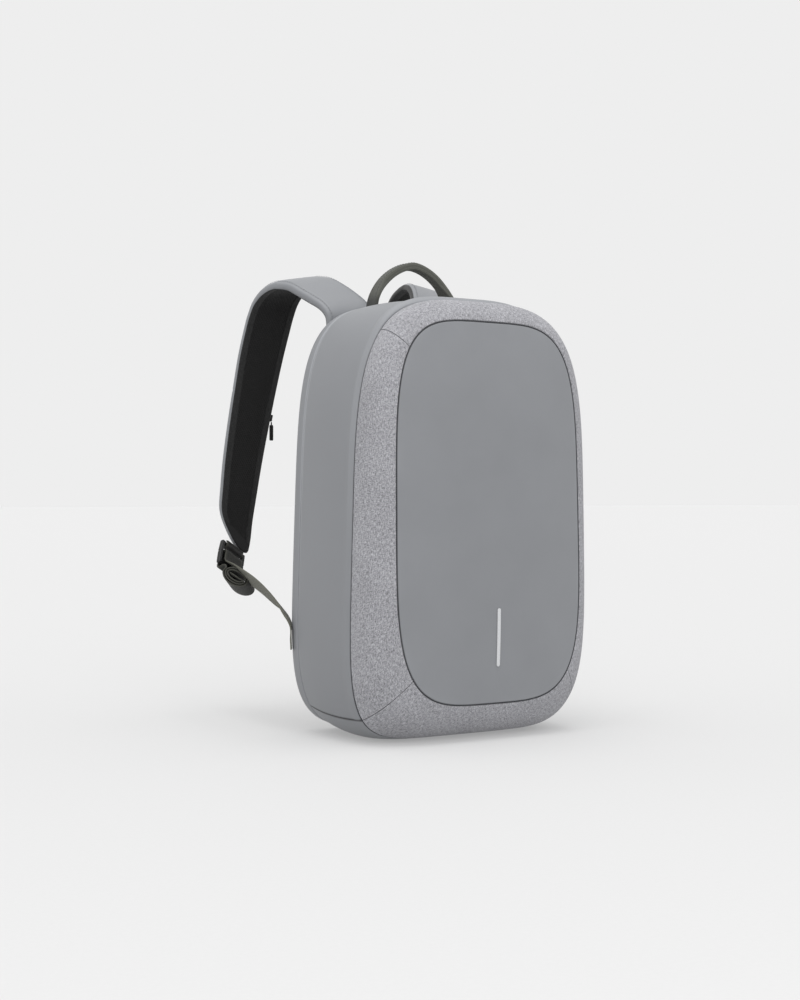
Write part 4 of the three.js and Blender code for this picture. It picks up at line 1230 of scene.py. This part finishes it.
# The carrying handle
def top_turn(x):
    right, left = (np.full(x.shape, MITRES[name]) for name in ("top_right", "top_left"))
    for _ in range(30):
        middle = (right + left) / 2
        beyond = outline(SEAMS["back"], middle)[..., 0] > x
        right, left = np.where(beyond, middle, right), np.where(beyond, left, middle)
    return right


def top_height(x, y):
    turn = top_turn(x)
    crease, front = crease_point(turn), outline(SEAMS["border"], turn)
    on_gusset = np.clip((y - front[..., 1]) / (crease[..., 1] - front[..., 1]), 0, 1)
    on_rim = np.clip((y - crease[..., 1]) / RIM_DEPTH, 0, 1)
    rim = crease[..., 2] + inwards(SEAMS["back"], turn)[..., 2] * rim_drop(on_rim)
    return np.where(y < crease[..., 1], gusset_surface(turn, on_gusset)[..., 2], rim)


def make_handle():
    angles = np.linspace(0, math.pi, 120)
    cos, sin = np.cos(angles)[:, None], np.maximum(np.sin(angles), 0)[:, None]
    reach = (np.abs(cos) ** HANDLE_LEAN + sin ** HANDLE_LEAN) ** (-1 / HANDLE_LEAN)
    grip = np.minimum(1, 1.6 * sin)
    width = mix(HANDLE_FOOT_WIDTH, HANDLE_GRIP_WIDTH, grip)
    thickness = mix(HANDLE_FOOT_THICKNESS, HANDLE_GRIP_THICKNESS, grip ** 2)
    rounding = np.array([0.488, 0.497, 0.5])
    share = np.concatenate([-rounding[::-1], np.linspace(-0.47, 0.47, 17), rounding])[None]
    body = np.sqrt(np.clip(1 - (np.clip(np.abs(share) - 0.45, 0, None) / 0.051) ** 2, 0.03, 1))
    foot = top_height(np.zeros((1, 1)), np.full((1, 1), HANDLE_DEPTH))

    def layer(hand):
        offset = hand * thickness / 2 * body
        x = ((HANDLE_SPAN / 2 + offset) * reach - HANDLE_TOE * share * width * (1 - grip)) * cos
        y = HANDLE_DEPTH + share * width + 0 * x
        z = foot + (HANDLE_RISE + offset) * reach * sin
        ground = top_height(x, y) + 0.1 * MM
        return np.stack([x, y, np.maximum(z, ground)], axis=-1)

    outer, inner = layer(1), layer(-1)
    climb = outer[:, share.shape[1] // 2, 2] - outer[0, share.shape[1] // 2, 2]
    shadow = np.repeat((1 - smooth(climb, 4 * MM, 15 * MM))[:, None] * 0.6, share.shape[1], axis=1)
    seam = smooth(np.abs(share), 0.42, 0.49) + 0 * shadow
    handle = band("top_handle_tape", outer, inner, False, HANDLE_WEBBING, {"seam": seam, "shadow": shadow})
    place(handle, "handle_webbing", "top_handle")
    parts = []
    for hand in (-0.36, 0.36):
        column = int(np.argmin(np.abs(share[0] - hand)))
        path = outer[6:-6, column]
        parts += stitch_parts(path, unit(np.cross(tangents(path), BACKWARDS)) * -1, radius=0.3 * MM)
    place(merged("handle_stitches", parts, DARK_THREAD), "seam_trim")


# The pocket zip in one strap
def make_strap_zip():
    rough = strap_stations(1)
    edges = strap_grid(rough, rough["half"][:, None], rough["thick"][:, None] / 2)[:, 0]
    at = mix(edges[ZIP_ROW], edges[ZIP_ROW + 1], 0.82)
    down = unit(edges[ZIP_ROW + 1] - edges[ZIP_ROW])
    outwards = unit(np.cross(BACKWARDS, down)) * -1
    across, deep, tall = SLIDER_SIZE
    middle = at + outwards * (across / 2 + PIECE_GAP)
    slider = merged("strap_zip_slider_body", [
        rounded_bar(middle - down * tall / 2, middle + down * tall / 2, outwards, BACKWARDS, across, deep),
        rounded_bar(middle - down * tall * 0.1 + outwards * across * 0.2,
                    middle + down * tall * 0.42 + outwards * across * 0.55,
                    outwards, BACKWARDS, 1.2 * MM, 1.6 * MM),
    ], BUCKLE_PLASTIC)
    place(remeshed(slider, 0.3 * MM), "buckle_plastic", "strap_zip_slider")
    across, deep, tall = PULL_SIZE
    low, high = (np.array(corner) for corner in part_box("strap_zip_pull"))
    top = np.append((low + high)[:2] / 2, high[2])
    pull = merged("strap_zip_pull_tag", [
        rounded_bar(top, top - UPWARDS * tall * 0.22, BACKWARDS, SIDEWAYS, 1.6 * MM, 1.2 * MM),
        rounded_bar(top - UPWARDS * tall * 0.16, top - UPWARDS * tall, BACKWARDS, SIDEWAYS, deep, across),
    ], BUCKLE_PLASTIC)
    place(remeshed(pull, 0.25 * MM), "buckle_plastic", "strap_zip_pull")


# The studio: each lamp with its place, its size and its power
LAMPS = (
    ("key", (-0.9, -1.8, 1.1), 1.6, 11.0),
    ("top", (-0.2, -0.3, 2.6), 1.8, 30.0),
)


def make_studio():
    scene = bpy.context.scene
    scene.view_settings.view_transform = "Standard"
    reach = 40.0
    grid = reach * np.array([(-1, -1, 0), (1, -1, 0), (1, 1, 0), (-1, 1, 0)], float)
    floor = make_mesh("floor", grid, [[0, 1, 2, 3]], None, floor_paper())
    world = bpy.data.worlds.new("studio")
    scene.world = world
    world.use_nodes = True
    background = world.node_tree.nodes["Background"]
    background.inputs["Color"].default_value = (1, 1, 1, 1)
    background.inputs["Strength"].default_value = SKY
    target = np.array([0.0, 0.05, 0.22])
    for name, place_at, size, power in LAMPS:
        lamp = bpy.data.lights.new(name, "AREA")
        lamp.size = size
        lamp.energy = power
        light = add_object(name, lamp)
        light.location = place_at
        aim(light, target)


def aim(thing, target):
    direction = Vector(target) - thing.location
    thing.rotation_euler = direction.to_track_quat("-Z", "Y").to_euler()


def make_camera():
    azimuth, elevation, distance = math.radians(-34.0904), math.radians(0.0538), 1.6022
    target = np.array([-0.03464, 0.02347, 0.21588])
    focal = 61.86
    backwards = np.array([math.sin(azimuth) * math.cos(elevation), -math.cos(azimuth) * math.cos(elevation),
                          math.sin(elevation)])
    lens = bpy.data.cameras.new("camera")
    lens.lens = focal
    camera = add_object("camera", lens)
    camera.location = target + distance * backwards
    aim(camera, target)
    bpy.context.scene.camera = camera


make_body()
make_piping()
make_strip()
make_back()
make_straps()
make_buckle()
make_webbing()
make_handle()
make_strap_zip()
make_studio()
make_camera()
